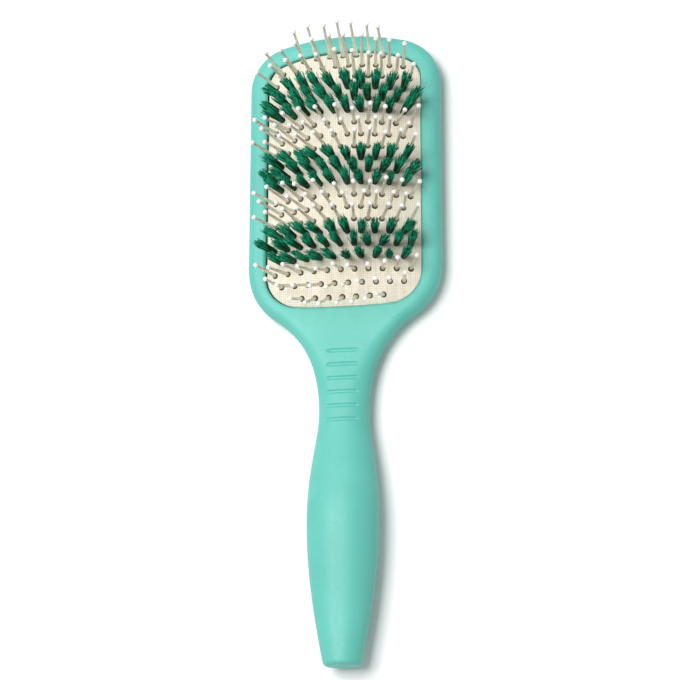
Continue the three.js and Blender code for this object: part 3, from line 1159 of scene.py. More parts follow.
class Outline:
    """The right side of the paddle seen from above, from the handle's end to its top."""

    def __init__(self, shape: PaddleShape, steps: int) -> None:
        """Draws the outline.

        Args:
            shape: The moulding.
            steps: Steps of each of its pieces.
        """
        cheek = shape.cheek_outline(steps)
        corner = shape.head_corner_outline(steps)
        side = resample([cheek[-1], corner[0]], steps + 1)
        lower = shape.handle_outline(steps) + cheek[1:]
        self.shape = shape
        self.points = lower + side[1:] + corner[1:]
        self.normals = [self.normal_at(i) for i in range(len(self.points))]
        self.reached = [0.0]
        for a, b in zip(self.points, self.points[1:]):
            self.reached.append(self.reached[-1] + (b - a).length)
        ends = (len(lower), len(lower) + steps, len(lower) + 2 * steps)
        self.landmarks = [self.reached[end - 1] for end in ends] + [self.reached[-1]]
        self.crests = [
            (point - normal * shape.flank_width(point, 0.0)).y
            for point, normal in zip(self.points, self.normals)
        ]

    def normal_at(self, i: int) -> Vector:
        """Finds the way out at a point, square to the brush along the handle.

        Args:
            i: Number of the point.

        Returns:
            The unit vector.
        """
        if i == len(self.points) - 1:
            return Vector((0.0, 1.0))
        run = self.points[i + 1] - self.points[max(i - 1, 0)]
        run.normalize()
        share = self.shape.handle_share_at(self.points[i].y)
        return Vector((run.y, -run.x)).lerp(Vector((1.0, 0.0)), share).normalized()

    def at_length(self, length: float) -> Station:
        """Makes the station at a length along the outline."""
        return self.between(self.reached, length)

    def at_crest(self, level: float) -> Station:
        """Makes the station whose crest lies at a place along the brush."""
        return self.between(self.crests, level)

    def length_at_crest(self, level: float) -> float:
        """Gives the length along the outline to the station of a crest."""
        i = bisect.bisect_left(self.crests, level, 1, len(self.crests) - 1) - 1
        rise = self.crests[i + 1] - self.crests[i]
        share = (level - self.crests[i]) / rise
        return mix(self.reached[i], self.reached[i + 1], share)

    def between(self, scale: Sequence[float], value: float) -> Station:
        """Makes the station at a value of a rising scale.

        Args:
            scale: One number for each point of the outline.
            value: The wanted number.

        Returns:
            The station.
        """
        i = bisect.bisect_left(scale, value, 1, len(scale) - 1) - 1
        share = min(max((value - scale[i]) / (scale[i + 1] - scale[i]), 0.0), 1.0)
        normal = self.normals[i].lerp(self.normals[i + 1], share)
        return Station(
            self.points[i].lerp(self.points[i + 1], share), normal.normalized()
        )


@dataclass
class Shell:
    """One moulded shell of the paddle, swept along its outline, with its wall."""

    shape: PaddleShape
    side: Side
    name: str
    node: str
    grooves: ThumbGrooves | None = None
    finish: ShellPlastic = ShellPlastic()
    seam_gap: float = 0.0001
    outline_steps: int = 240
    spacing: float = 0.0012
    fine_spacing: float = 0.0002
    side_spacing: float = 0.004
    fan_steps: int = 18
    rim_steps: int = 900
    end_steps: int = 6
    edge_columns: int = 24
    top_columns: int = 8
    round_columns: int = 6
    inner_columns: int = 5
    facet_shares: Span = (0.5, 0.2)
    ceiling_shares: tuple[float, ...] = (0.0, 0.5, 1.0)
    stations: list[Station] = field(init=False)

    def __post_init__(self) -> None:
        """Lays out the stations along the outline."""
        shape = self.shape
        outline = Outline(shape, self.outline_steps)
        window_start = shape.window_foot - shape.window_round - self.fine_spacing
        levels = self.lower_levels(window_start)
        shrinks = [
            shape.end_edge_round * (1 - math.sin(math.pi / 2 * i / self.end_steps))
            for i in range(self.end_steps + 1)
        ]
        lower = [outline.at_crest(level) for level in levels]
        for i, shrink in enumerate(shrinks):
            lower[i] = replace(lower[i], shrink=shrink)
        start = outline.length_at_crest(window_start)
        upper = []
        pieces = [start] + [mark for mark in outline.landmarks if mark > start]
        spacings = (self.spacing, self.side_spacing, self.spacing, self.spacing)
        for a, b, spacing in zip(pieces, pieces[1:], spacings):
            count = math.ceil((b - a) / spacing)
            upper += [outline.at_length(mix(a, b, i / count)) for i in range(1, count)]
            upper.append(outline.at_length(b))
        upper[-1] = replace(upper[-1], edge=Vector((0.0, shape.head_top)))
        if self.side is Side.FRONT:
            upper = self.with_rim(lower[-1], upper)
        self.stations = self.facet_stations(lower[0]) + lower + upper

    def lower_levels(self, top: float) -> list[float]:
        """Lists the places of the rows below the window.

        Args:
            top: Place of the last one.

        Returns:
            The places, from the handle's end up.
        """
        shape = self.shape
        levels = [
            shape.end_y
            + shape.end_edge_round * (1 - math.cos(math.pi / 2 * i / self.end_steps))
            for i in range(self.end_steps + 1)
        ]
        low, high = self.grooves.reach(shape) if self.grooves else (top, top)
        while levels[-1] < top - self.spacing / 2:
            is_fine = low - self.spacing < levels[-1] < high
            levels.append(levels[-1] + (self.fine_spacing if is_fine else self.spacing))
        return levels[:-1] + [top]

    def facet_stations(self, first: Station) -> list[Station]:
        """Makes the stations that close the flat facet of the handle's end.

        Args:
            first: First station of the outline.

        Returns:
            The stations, from the middle of the facet outwards.
        """
        round_off = self.shape.end_edge_round
        stations = [replace(first, closes_end=True)]
        for share in self.facet_shares:
            shrink = mix(round_off, first.edge.x, share)
            stations.append(replace(first, shrink=shrink))
        return stations

    def with_rim(self, last: Station, upper: Sequence[Station]) -> list[Station]:
        """Gives each station beside the window the place on its outline that it faces.

        Args:
            last: Last station below the window.
            upper: Stations beside and above it.

        Returns:
            The stations, with a fan of them from the last one to the window's foot.
        """
        foot, top = self.shape.window_parts(0.0, self.fan_steps)
        line = resample(foot + top, self.rim_steps)
        rim = []
        for i, place in enumerate(line):
            run = line[min(i + 1, len(line) - 1)] - line[max(i - 1, 0)]
            outward = Vector((run.y, -run.x)).normalized()
            if i in (0, len(line) - 1):
                outward.x = 0.0
            rim.append(RimPoint(place, outward.normalized()))
        found = 0
        numbers = []
        for station in [last, *upper]:
            crest = self.section(station, 0.0, 1)[-1][0]
            found = min(
                range(found, len(rim)),
                key=lambda i: (rim[i].moved(self.shape.window_round) - crest).length,
            )
            numbers.append(found)
        numbers[-1] = len(rim) - 1
        fan = [
            replace(last, rim=rim[round(numbers[0] * i / self.fan_steps)])
            for i in range(self.fan_steps + 1)
        ]
        beside = [
            replace(station, rim=rim[number])
            for station, number in zip(upper, numbers[1:])
        ]
        return fan + beside

    def section(
        self, station: Station, depth: float, steps: int
    ) -> list[tuple[Vector, float]]:
        """Works out the rounded edge at one station, from the seam to the crest.

        Args:
            station: Where it is.
            depth: Distance inside the outer skin.
            steps: Steps round the edge.

        Returns:
            Pairs of a place seen from above and a height.
        """
        shape = self.shape
        shrink = depth + station.shrink
        edge = station.edge - station.normal * shrink
        edge.x = max(edge.x, 0.0)
        edge.y = max(edge.y, shape.end_y + depth)
        share = shape.handle_share_at(edge.y)
        power = mix(shape.head_edge_power, shape.handle_edge_power, share)
        width = shape.flank_width(edge, shrink)
        points = []
        for k in range(steps + 1):
            angle = math.pi / 2 * k / steps
            inward = 1 - max(math.cos(angle), 0.0) ** (2 / power)
            upward = math.sin(angle) ** (2 / power)
            plan = edge - station.normal * (width * inward)
            points.append((plan, self.height(plan, shrink, upward)))
        return points

    def height(self, plan: Vector, shrink: float, upward: float = 1.0) -> float:
        """Gives the height of a skin.

        Args:
            plan: Place seen from above.
            shrink: Distance inside the outer skin.
            upward: Share of the way from the seam to the crest.

        Returns:
            The height.
        """
        seam = self.shape.seam_at(plan.y)
        if self.side is Side.FRONT:
            crest = max(self.shape.top_at(plan.y) - shrink, seam)
            return mix(seam, crest, upward)
        crest = min(self.shape.bottom_at(plan.y) + shrink, seam - self.seam_gap)
        return mix(seam - self.seam_gap, crest, upward)

    def profile(self, station: Station) -> list[Vector]:
        """Works out one closed row of points: outer skin, window edge, inner skin.

        Args:
            station: Where the row starts.

        Returns:
            The points, the last of them on the first.
        """
        shape = self.shape
        rim = station.rim
        outer = self.section(station, 0.0, self.edge_columns)
        inner = self.section(station, shape.wall, self.inner_columns)
        crest = outer[-1][0]
        inner_crest = inner[-1][0]
        target = rim.moved(shape.window_round) if rim else Vector((0.0, crest.y))
        points = [self.outer_point(plan, z) for plan, z in outer]
        for j in range(1, self.top_columns + 1):
            plan = crest.lerp(target, j / self.top_columns)
            points.append(self.outer_point(plan, self.height(plan, station.shrink)))
        for step in range(1, self.round_columns + 1):
            points.append(self.round_point(points[-1], rim, step))
        inner_target = rim.place if rim else Vector((0.0, inner_crest.y))
        for share in self.ceiling_shares:
            plan = inner_target.lerp(inner_crest, share)
            z = self.height(plan, shape.wall + station.shrink)
            points.append(Vector((plan.x, plan.y, z)))
        points += [Vector((plan.x, plan.y, z)) for plan, z in inner[-2::-1]]
        points.append(points[0].copy())
        if station.closes_end:
            outer_count = self.edge_columns + self.top_columns + self.round_columns + 1
            seam = self.height(station.edge, 0.0, 0.0)
            for k in range(len(points)):
                is_outer = k < outer_count or k == len(points) - 1
                y = shape.end_y + (0.0 if is_outer else shape.wall)
                points[k] = Vector((0.0, y, seam))
        return points

    def round_point(self, last: Vector, rim: RimPoint | None, step: int) -> Vector:
        """Gives a point of the window's rounded top edge.

        Args:
            last: The point before it.
            rim: Place on the window's outline, or None away from the window.
            step: Number of the step round the edge.

        Returns:
            The point, on the last one where there is no window.
        """
        if rim is None:
            return last.copy()
        angle = math.pi / 2 * step / self.round_columns
        plan = rim.moved(self.shape.window_round * (1 - math.sin(angle)))
        drop = self.shape.window_round * (1 - math.cos(angle))
        return Vector((plan.x, plan.y, self.shape.head_thickness - drop))

    def outer_point(self, plan: Vector, z: float) -> Vector:
        """Puts a point on the outer skin, sunk where a groove runs."""
        sunk = self.grooves.depth_at(plan, self.shape) if self.grooves else 0.0
        return Vector((plan.x, plan.y, z - sunk))

    def build(self) -> bpy.types.Object:
        """Makes the shell as a closed mesh.

        Returns:
            The piece.
        """
        rows = [self.profile(station) for station in self.stations]
        bm = grid_surface(len(rows), len(rows[0]), lambda i, j: rows[i][j])
        close_by_mirror(bm)
        return new_piece(self.name, bm)

    def dress(self, piece: bpy.types.Object, groups: Groups) -> None:
        """Gives the shell its finish, its body and its CAD node.

        Args:
            piece: The shell.
            groups: Shared shader groups.
        """
        piece.data.materials.append(self.finish.material(groups))
        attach(piece, Body.PADDLE.value)
        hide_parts(self.node)


# The cushion and what stands on it


@dataclass(frozen=True)
class CrownShape:
    """Crown of the cushion and the grid of strands on it."""

    shape: PaddleShape
    rise: float = 0.0069
    edge_drop: float = 0.0007
    side_inset: float = 0.0004
    end_inset: float = 0.00065
    softening: float = 0.006
    power_across: float = 1.52
    power_along: float = 5.4
    bands: int = 7
    rows_per_band: int = 3
    most_columns: int = 11
    end_row_columns: int = 7
    row_side_margin: float = 0.0035
    row_end_margin: float = 0.00295
    edge_gap: float = 0.0005
    shift: float = 0.00035
    bow_at_foot: float = -0.00066
    bow_at_head: float = 0.0014
    last_row_bow: float = 0.0015
    lean_reach: float = 0.0035

    @property
    def edge_height(self) -> float:
        """Height of the canvas at its edge."""
        return self.shape.head_thickness - self.edge_drop

    @property
    def middle(self) -> float:
        """Place of the middle of the grid of strands."""
        return (self.shape.window_top + self.shape.window_foot) / 2 + self.shift

    @property
    def row_count(self) -> int:
        """Number of rows of strands."""
        return self.bands * self.rows_per_band

    def rise_at(self, x: float, y: float) -> float:
        """Gives the crown's rise above its edge.

        Args:
            x: Place across the brush.
            y: Place along it.

        Returns:
            The rise.
        """
        half_width = self.shape.window_half - self.side_inset
        length = self.shape.window_top - self.shape.window_foot
        half_length = length / 2 - self.end_inset

        def soft(reach: float) -> float:
            """Softens the crest of the crown across the brush."""
            return (reach * reach + self.softening**2) ** (self.power_across / 2)

        across = (soft(x) - soft(0)) / (soft(half_width) - soft(0))
        along = (abs(y - self.middle) / half_length) ** self.power_along
        return self.rise * max(1 - across, 0.0) * max(1 - along, 0.0)

    def lean_at(self, x: float, y: float) -> Vector:
        """Gives the way a strand leans where it stands.

        Args:
            x: Place across the brush.
            y: Place along it.

        Returns:
            The unit vector.
        """
        reach = self.lean_reach
        slope_x = self.rise_at(x + reach, y) - self.rise_at(x - reach, y)
        slope_y = self.rise_at(x, y + reach) - self.rise_at(x, y - reach)
        return Vector((-slope_x, -slope_y, 2 * reach)).normalized()

    def row_feet(self, row: int) -> list[Vector]:
        """Lists the feet of one row of strands, seen from above.

        Args:
            row: Number of the row, from the handle.

        Returns:
            The places.
        """
        last = self.row_count - 1
        is_end = row in (0, last)
        columns = self.end_row_columns if is_end else self.most_columns - row % 2
        half_row = self.shape.window_half - self.edge_gap - self.row_side_margin
        pitch = 2 * half_row / (self.most_columns - 1)
        length = self.shape.window_top - self.shape.window_foot
        row_pitch = (length - 2 * self.row_end_margin) / last
        bow = mix(self.bow_at_foot, self.bow_at_head, math.sqrt(row / last))
        if row == last:
            bow += self.last_row_bow
        feet = []
        for i in range(columns):
            x = (i - (columns - 1) / 2) * pitch
            y = self.middle + (row - last / 2) * row_pitch
            feet.append(Vector((x, y - bow * (x / half_row) ** 2)))
        return feet

    def band_feet(self, band: int) -> list[Vector]:
        """Lists the feet of one band of rows, seen from above.

        Args:
            band: Number of the band, from the handle.

        Returns:
            The places.
        """
        first = band * self.rows_per_band
        rows = range(first, first + self.rows_per_band)
        return [foot for row in rows for foot in self.row_feet(row)]


@dataclass
class Cushion:
    """Canvas pad and the rubber diaphragm under it."""

    crown: CrownShape
    cloth: CanvasCloth = CanvasCloth()
    rubber: CushionRubber = CushionRubber()
    canvas_reach: float = 0.0002
    canvas_thickness: float = 0.0009
    canvas_gap: float = 0.0003
    rubber_thickness: float = 0.0015
    flange_reach: float = 0.0019
    flange_foot: float = 0.0065
    flange_top: float = 0.008
    edge_round: float = 0.00045
    edge_fall: float = 0.0009
    shift: tuple[float, float, float] = (0.00026, -0.00026, 0.0)
    edge_steps: int = 4
    foot_rows: int = 26
    side_rows: int = 34
    columns: int = 16
    spine_share: float = 0.7
    blend_share: float = 0.25
    slack_share: float = 0.05
    most_swell: float = 0.0005
    sim_scale: float = 10.0
    sim_pressure: float = 4.0
    sim_frames: int = 20
    sim_quality: int = 4
    held_share: float = 0.25

    @property
    def under_columns(self) -> int:
        """Steps of an underside, which needs fewer than the canvas's top."""
        return self.columns // 2

    def edge_line(self, inset: float) -> list[Vector]:
        """Spreads the window's outline evenly, from its foot to its top.

        Args:
            inset: Distance inside the window.

        Returns:
            The points.
        """
        foot, top = self.crown.shape.window_parts(-inset, self.foot_rows)
        line = resample(foot, self.foot_rows)
        line += resample([foot[-1], top[0]], self.side_rows + 1)[1:]
        line += resample(top, self.foot_rows)[1:]
        return line

    def spine_point(self, edge: Vector) -> Vector:
        """Gives the place on the centre line that an edge point's column runs to."""
        shape = self.crown.shape
        reach = shape.window_half * self.spine_share
        low = shape.window_foot + reach
        high = shape.window_top - reach
        return Vector((0.0, min(max(edge.y, low), high)))

    def surface_points(
        self, edge: Vector, base: float, share: float, steps: int
    ) -> list[Vector]:
        """Lists points on a crowned surface, from its edge to the centre line.

        Args:
            edge: Point on its edge.
            base: Height of the surface where the crown is 0.
            share: Share of the crown's rise that it has.
            steps: Steps to the centre line.

        Returns:
            The points.
        """
        spine = self.spine_point(edge)
        points = []
        for j in range(steps + 1):
            plan = edge.lerp(spine, j / steps)
            rise = self.crown.rise_at(plan.x, plan.y) * share
            points.append(Vector((plan.x, plan.y, base + rise)))
        return points

    def build_canvas(self) -> bpy.types.Object:
        """Makes the canvas pad as one closed cloth, swollen by a cloth simulation.

        Returns:
            The piece.
        """
        top = self.crown.edge_height
        gap = self.crown.edge_gap - self.canvas_reach
        inner = self.edge_line(gap + self.edge_round)
        turned = []
        for step in range(1, self.edge_steps + 1):
            angle = math.pi / 2 * step / self.edge_steps
            reach = self.edge_round * math.sin(angle)
            drop = self.edge_fall * (1 - math.cos(angle))
            turned.append((self.edge_line(gap + self.edge_round - reach), drop))
        share = 1 - self.slack_share
        lower_base = top - self.canvas_thickness
        rows = []
        for number, inner_point in enumerate(inner):
            upper = self.surface_points(inner_point, top, share, self.columns)
            lower = self.surface_points(inner_point, lower_base, 1.0, self.under_columns)
            rim = upper[0].z
            side = [(line[number], rim - drop) for line, drop in turned]
            side = [Vector((plan.x, plan.y, z)) for plan, z in side]
            rows.append(upper[::-1] + side + lower)
        bm = grid_surface(len(rows), len(rows[0]), lambda i, j: rows[i][j])
        close_by_mirror(bm)
        bmesh.ops.translate(bm, vec=self.shift, verts=bm.verts)
        pad = new_piece("canvas_pad", bm)
        self.swell(pad)
        subdivide = pad.modifiers.new("finer", "SUBSURF")
        subdivide.levels = 1
        subdivide.render_levels = 1
        return pad

    def swell(self, pad: bpy.types.Object) -> None:
        """Swells the pad's top with a cloth simulation, held at its edge and underside.

        Args:
            pad: The pad. Its mesh is changed, by no more than most_swell.
        """
        mesh = pad.data
        rest = [v.co.copy() for v in mesh.vertices]
        model = pad.copy()
        model.data = mesh.copy()
        model.name = "pad_for_simulation"
        bpy.context.scene.collection.objects.link(model)
        model.data.transform(Matrix.Scale(self.sim_scale, 4))
        held = model.vertex_groups.new(name="held")
        floor = self.crown.edge_height
        free_from = self.crown.rise * self.held_share
        for index, point in enumerate(rest):
            rise = self.crown.rise_at(point.x - self.shift[0], point.y - self.shift[1])
            is_top = point.z > floor + rise * (1 - self.slack_share) - TOUCHING
            free = min(rise / free_from, 1.0) if is_top else 0.0
            held.add([index], 1.0 - free, "REPLACE")
        cloth = model.modifiers.new("cloth", "CLOTH")
        settings = cloth.settings
        settings.quality = self.sim_quality
        settings.use_pressure = True
        settings.uniform_pressure_force = self.sim_pressure
        settings.vertex_group_mass = held.name
        settings.effector_weights.gravity = 0.0
        cloth.point_cache.frame_end = self.sim_frames
        scene = bpy.context.scene
        for frame_number in range(1, self.sim_frames + 1):
            scene.frame_set(frame_number)
        depsgraph = bpy.context.evaluated_depsgraph_get()
        swollen = model.evaluated_get(depsgraph).to_mesh()
        most = 0.0
        for index, point in enumerate(rest):
            move = swollen.vertices[index].co / self.sim_scale - point
            if move.length > self.most_swell:
                move = move.normalized() * self.most_swell
            most = max(most, move.length)
            mesh.vertices[index].co = point + move
        model.evaluated_get(depsgraph).to_mesh_clear()
        bpy.data.objects.remove(model)
        scene.frame_set(1)
        LOG.info("cloth simulation moved the canvas by up to %.2f mm", most * 1000)

    def build_rubber(self) -> bpy.types.Object:
        """Makes the rubber diaphragm with its skirt and flange.

        Returns:
            The piece.
        """
        crown = self.crown
        top = crown.edge_height - self.canvas_thickness - self.canvas_gap
        under_base = top - self.rubber_thickness
        inside = crown.edge_gap + self.rubber_thickness
        outer = self.edge_line(crown.edge_gap)
        flange = self.edge_line(-self.flange_reach)
        inner = self.edge_line(inside)
        rows = []
        for edge, rim, hollow in zip(outer, flange, inner):
            upper = self.surface_points(edge, top, 1.0, self.under_columns)
            under = self.surface_points(hollow, under_base, 1.0, self.under_columns)
            ring = [
                Vector((edge.x, edge.y, self.flange_top)),
                Vector((rim.x, rim.y, self.flange_top)),
                Vector((rim.x, rim.y, self.flange_foot)),
                Vector((hollow.x, hollow.y, self.flange_foot)),
            ]
            rows.append(upper[::-1] + ring + under)
        bm = grid_surface(len(rows), len(rows[0]), lambda i, j: rows[i][j])
        close_by_mirror(bm)
        return new_piece("rubber_diaphragm", bm)

    def dress_canvas(self, pad: bpy.types.Object, groups: Groups) -> None:
        """Gives the canvas its finish, bakes its place into its mesh and hides its CAD nodes.

        Args:
            pad: The canvas pad.
            groups: Shared shader groups.
        """
        pad.data.materials.append(self.cloth.material(groups))
        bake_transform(pad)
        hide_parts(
            "pin_field", "handle_tuft_band", "middle_tuft_band", "head_tuft_band"
        )

    def dress_rubber(self, diaphragm: bpy.types.Object, groups: Groups) -> None:
        """Gives the rubber its finish, bakes its place into its mesh and hides its CAD node.

        Args:
            diaphragm: The rubber diaphragm.
            groups: Shared shader groups.
        """
        diaphragm.data.materials.append(self.rubber.material(groups))
        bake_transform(diaphragm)
        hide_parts("rubber_cushion")


@dataclass(frozen=True)
class Foot:
    """Where a strand stands on the canvas."""

    place: Vector
    surface: Vector
    direction: Vector


@dataclass
class StrandField:
    """Pins with ball tips and tufts of bristle, set in punched holes of the canvas."""

    crown: CrownShape
    seed: int = 7
    pin_length: float = 0.0178
    pin_base_radius: float = 0.0008
    pin_neck_radius: float = 0.00042
    pin_sides: int = 10
    root_depth: float = 0.0006
    ball_radius: float = 0.00093
    ball_segments: tuple[int, int] = (10, 7)
    ball_shade_power: int = 6
    hole_radius: float = 0.00112
    hole_sides: int = 12
    hole_lift: float = 0.00006
    hem_width: float = 0.00022
    hem_height: float = 0.00014
    pin_scatter: float = 0.035
    tuft_scatter: float = 0.05
    probe_thicknesses: int = 4
    tuft_length: float = 0.0126
    tuft_root_radius: float = 0.00104
    tuft_tip_radius: float = 0.00192
    tuft_lengths: Span = (0.93, 1.05)
    tuft_splays: Span = (0.8, 1.15)
    tuft_squeeze: float = 0.2
    # Darkening of the bristles' roots: painted shade deep in each tuft and its hole.
    root_painted_shade: float = 0.35
    bristles: int = 96
    bristle_radius: float = 0.00016
    bristle_taper: float = 0.8
    bristle_sides: int = 3
    bristle_lengths: tuple[float, float, float] = (0.7, 1.06, 1.0)
    stray: float = 0.0004
    nylon: Strand = NYLON
    ball: Strand = BALL
    green: Strand = GREEN_BRISTLE
    shade: Strand = HOLE_SHADE
    chance: random.Random = field(init=False)

    def __post_init__(self) -> None:
        """Starts the seeded chance."""
        self.chance = random.Random(self.seed)

    def feet_on(
        self, pad: bpy.types.Object, band: int, scatter: float
    ) -> list[Foot]:
        """Finds where the strands of one band stand on the pad.

        Args:
            pad: The canvas pad.
            band: Number of the band, from the handle.
            scatter: How far a strand may lean off square.

        Returns:
            The feet.
        """
        depsgraph = bpy.context.evaluated_depsgraph_get()
        tree = BVHTree.FromObject(pad, depsgraph)
        above = self.crown.shape.head_thickness * self.probe_thicknesses
        feet = []
        for plan in self.crown.band_feet(band):
            start = Vector((plan.x, plan.y, above))
            hit, normal, _, _ = tree.ray_cast(start, Vector((0, 0, -1)))
            lean = self.crown.lean_at(plan.x, plan.y)
            off = Vector([self.chance.gauss(0, scatter) for _ in range(2)] + [0])
            feet.append(Foot(hit, normal, (lean + off).normalized()))
        return feet

    def build_pins(self, feet: Sequence[Foot]) -> bpy.types.Object:
        """Makes the tapered shafts of the pins.

        Args:
            feet: Where they stand.

        Returns:
            The piece.
        """
        bm, layer = shaded_mesh()
        shaft = self.pin_length - self.ball_radius + self.root_depth
        radii = (self.pin_base_radius, self.pin_neck_radius)
        for foot in feet:
            root = foot.place - foot.direction * self.root_depth
            verts = add_cone(bm, root, foot.direction, shaft, radii, self.pin_sides)
            shade_points(verts, layer, self.chance.random())
        return new_piece("pin_shafts", bm)

    def build_balls(self, feet: Sequence[Foot]) -> bpy.types.Object:
        """Makes the ball tips of the pins.

        Args:
            feet: Where the pins stand.

        Returns:
            The piece.
        """
        bm, layer = shaded_mesh()
        around, along = self.ball_segments
        for foot in feet:
            centre = foot.place + foot.direction * (self.pin_length - self.ball_radius)
            made = bmesh.ops.create_uvsphere(
                bm,
                u_segments=around,
                v_segments=along,
                radius=self.ball_radius,
                matrix=Matrix.Translation(centre) @ turn_to(foot.direction),
            )
            shade = self.chance.random() ** self.ball_shade_power
            shade_points(made["verts"], layer, shade)
        return new_piece("pin_balls", bm)

    def build_holes(self, feet: Sequence[Foot]) -> bpy.types.Object:
        """Makes near-black discs at the bottoms of the punched holes, as painted shade.

        Args:
            feet: Where the strands stand.

        Returns:
            The piece.
        """
        bm, layer = shaded_mesh()
        depth = self.root_depth + self.hole_lift
        radii = (self.hole_radius, self.hole_radius)
        for foot in feet:
            root = foot.place - foot.surface * self.root_depth
            verts = add_cone(bm, root, foot.surface, depth, radii, self.hole_sides)
            shade_points(verts, layer, self.chance.random())
        return new_piece("painted_hole_shade_discs", bm)

    def build_hems(self, feet: Sequence[Foot]) -> bpy.types.Object:
        """Makes the raised hems of canvas round the punched holes.

        Args:
            feet: Where the strands stand.

        Returns:
            The piece.
        """
        bm = bmesh.new()
        steps = (
            (self.hem_width / 2, self.hem_height),
            (self.hem_width / 2, -self.hem_height * 2),
        )
        for foot in feet:
            start = Matrix.Translation(foot.place) @ turn_to(foot.surface)
            made = bmesh.ops.create_circle(
                bm, segments=self.hole_sides, radius=self.hole_radius
            )
            verts = made["verts"]
            edges = list({e for v in verts for e in v.link_edges})
            rings = [verts]
            for grow, lift in steps:
                made = bmesh.ops.extrude_edge_only(bm, edges=edges)
                verts = [g for g in made["geom"] if isinstance(g, bmesh.types.BMVert)]
                edges = [g for g in made["geom"] if isinstance(g, bmesh.types.BMEdge)]
                edges = [e for e in edges if all(v in set(verts) for v in e.verts)]
                for vert in verts:
                    out = Vector((vert.co.x, vert.co.y, 0)).normalized()
                    vert.co += out * grow + Vector((0, 0, lift))
                rings.append(verts)
            for ring in rings:
                bmesh.ops.transform(bm, matrix=start, verts=ring)
        bmesh.ops.recalc_face_normals(bm, faces=bm.faces)
        return new_piece("hole_hems", bm)

    def build_tufts(self, name: str, feet: Sequence[Foot]) -> bpy.types.Object:
        """Makes the tufts of one band, bristle by bristle.

        Args:
            name: Name of the piece.
            feet: Where they stand.

        Returns:
            The piece.
        """
        bm, layer = shaded_mesh()
        radii = (self.bristle_radius, self.bristle_radius * self.bristle_taper)
        for foot in feet:
            side = foot.direction.orthogonal().normalized()
            front = foot.direction.cross(side)
            tuft_length = self.tuft_length * self.chance.uniform(*self.tuft_lengths)
            splay = self.chance.uniform(*self.tuft_splays)
            flat = self.chance.uniform(0, math.pi)
            for _ in range(self.bristles):
                reach = math.sqrt(self.chance.random())
                angle = self.chance.uniform(0, 2 * math.pi)
                squeeze = 1 - self.tuft_squeeze * abs(math.cos(angle - flat))
                away = side * math.cos(angle) + front * math.sin(angle)
                root = foot.place + away * (reach * self.tuft_root_radius)
                root -= foot.direction * self.root_depth
                length = tuft_length * self.chance.triangular(*self.bristle_lengths)
                out = reach * self.tuft_tip_radius * splay * squeeze
                stray = Vector([self.chance.gauss(0, self.stray) for _ in range(3)])
                tip = foot.place + foot.direction * length + away * out + stray
                run = tip - root
                verts = add_cone(
                    bm, root, run.normalized(), run.length, radii, self.bristle_sides
                )
                shade = self.chance.random()
                # Points near the root take a lower share, so they are darker: painted shade
                # inside the tuft.
                for vert in verts:
                    is_root = (vert.co - root).length < run.length / 2
                    vert[layer] = shade * (self.root_painted_shade if is_root else 1.0)
        return new_piece(name, bm)

    def dress(
        self, piece: bpy.types.Object, finish: Finish, slot: Slot, groups: Groups
    ) -> None:
        """Gives a piece its finish and lets it ride on the cushion.

        Args:
            piece: The piece.
            finish: Its finish.
            slot: Its material slot. Not used.
            groups: Shared shader groups.
        """
        piece.data.materials.append(finish.material(groups))
        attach(piece, Body.CUSHION.value)


# Studio


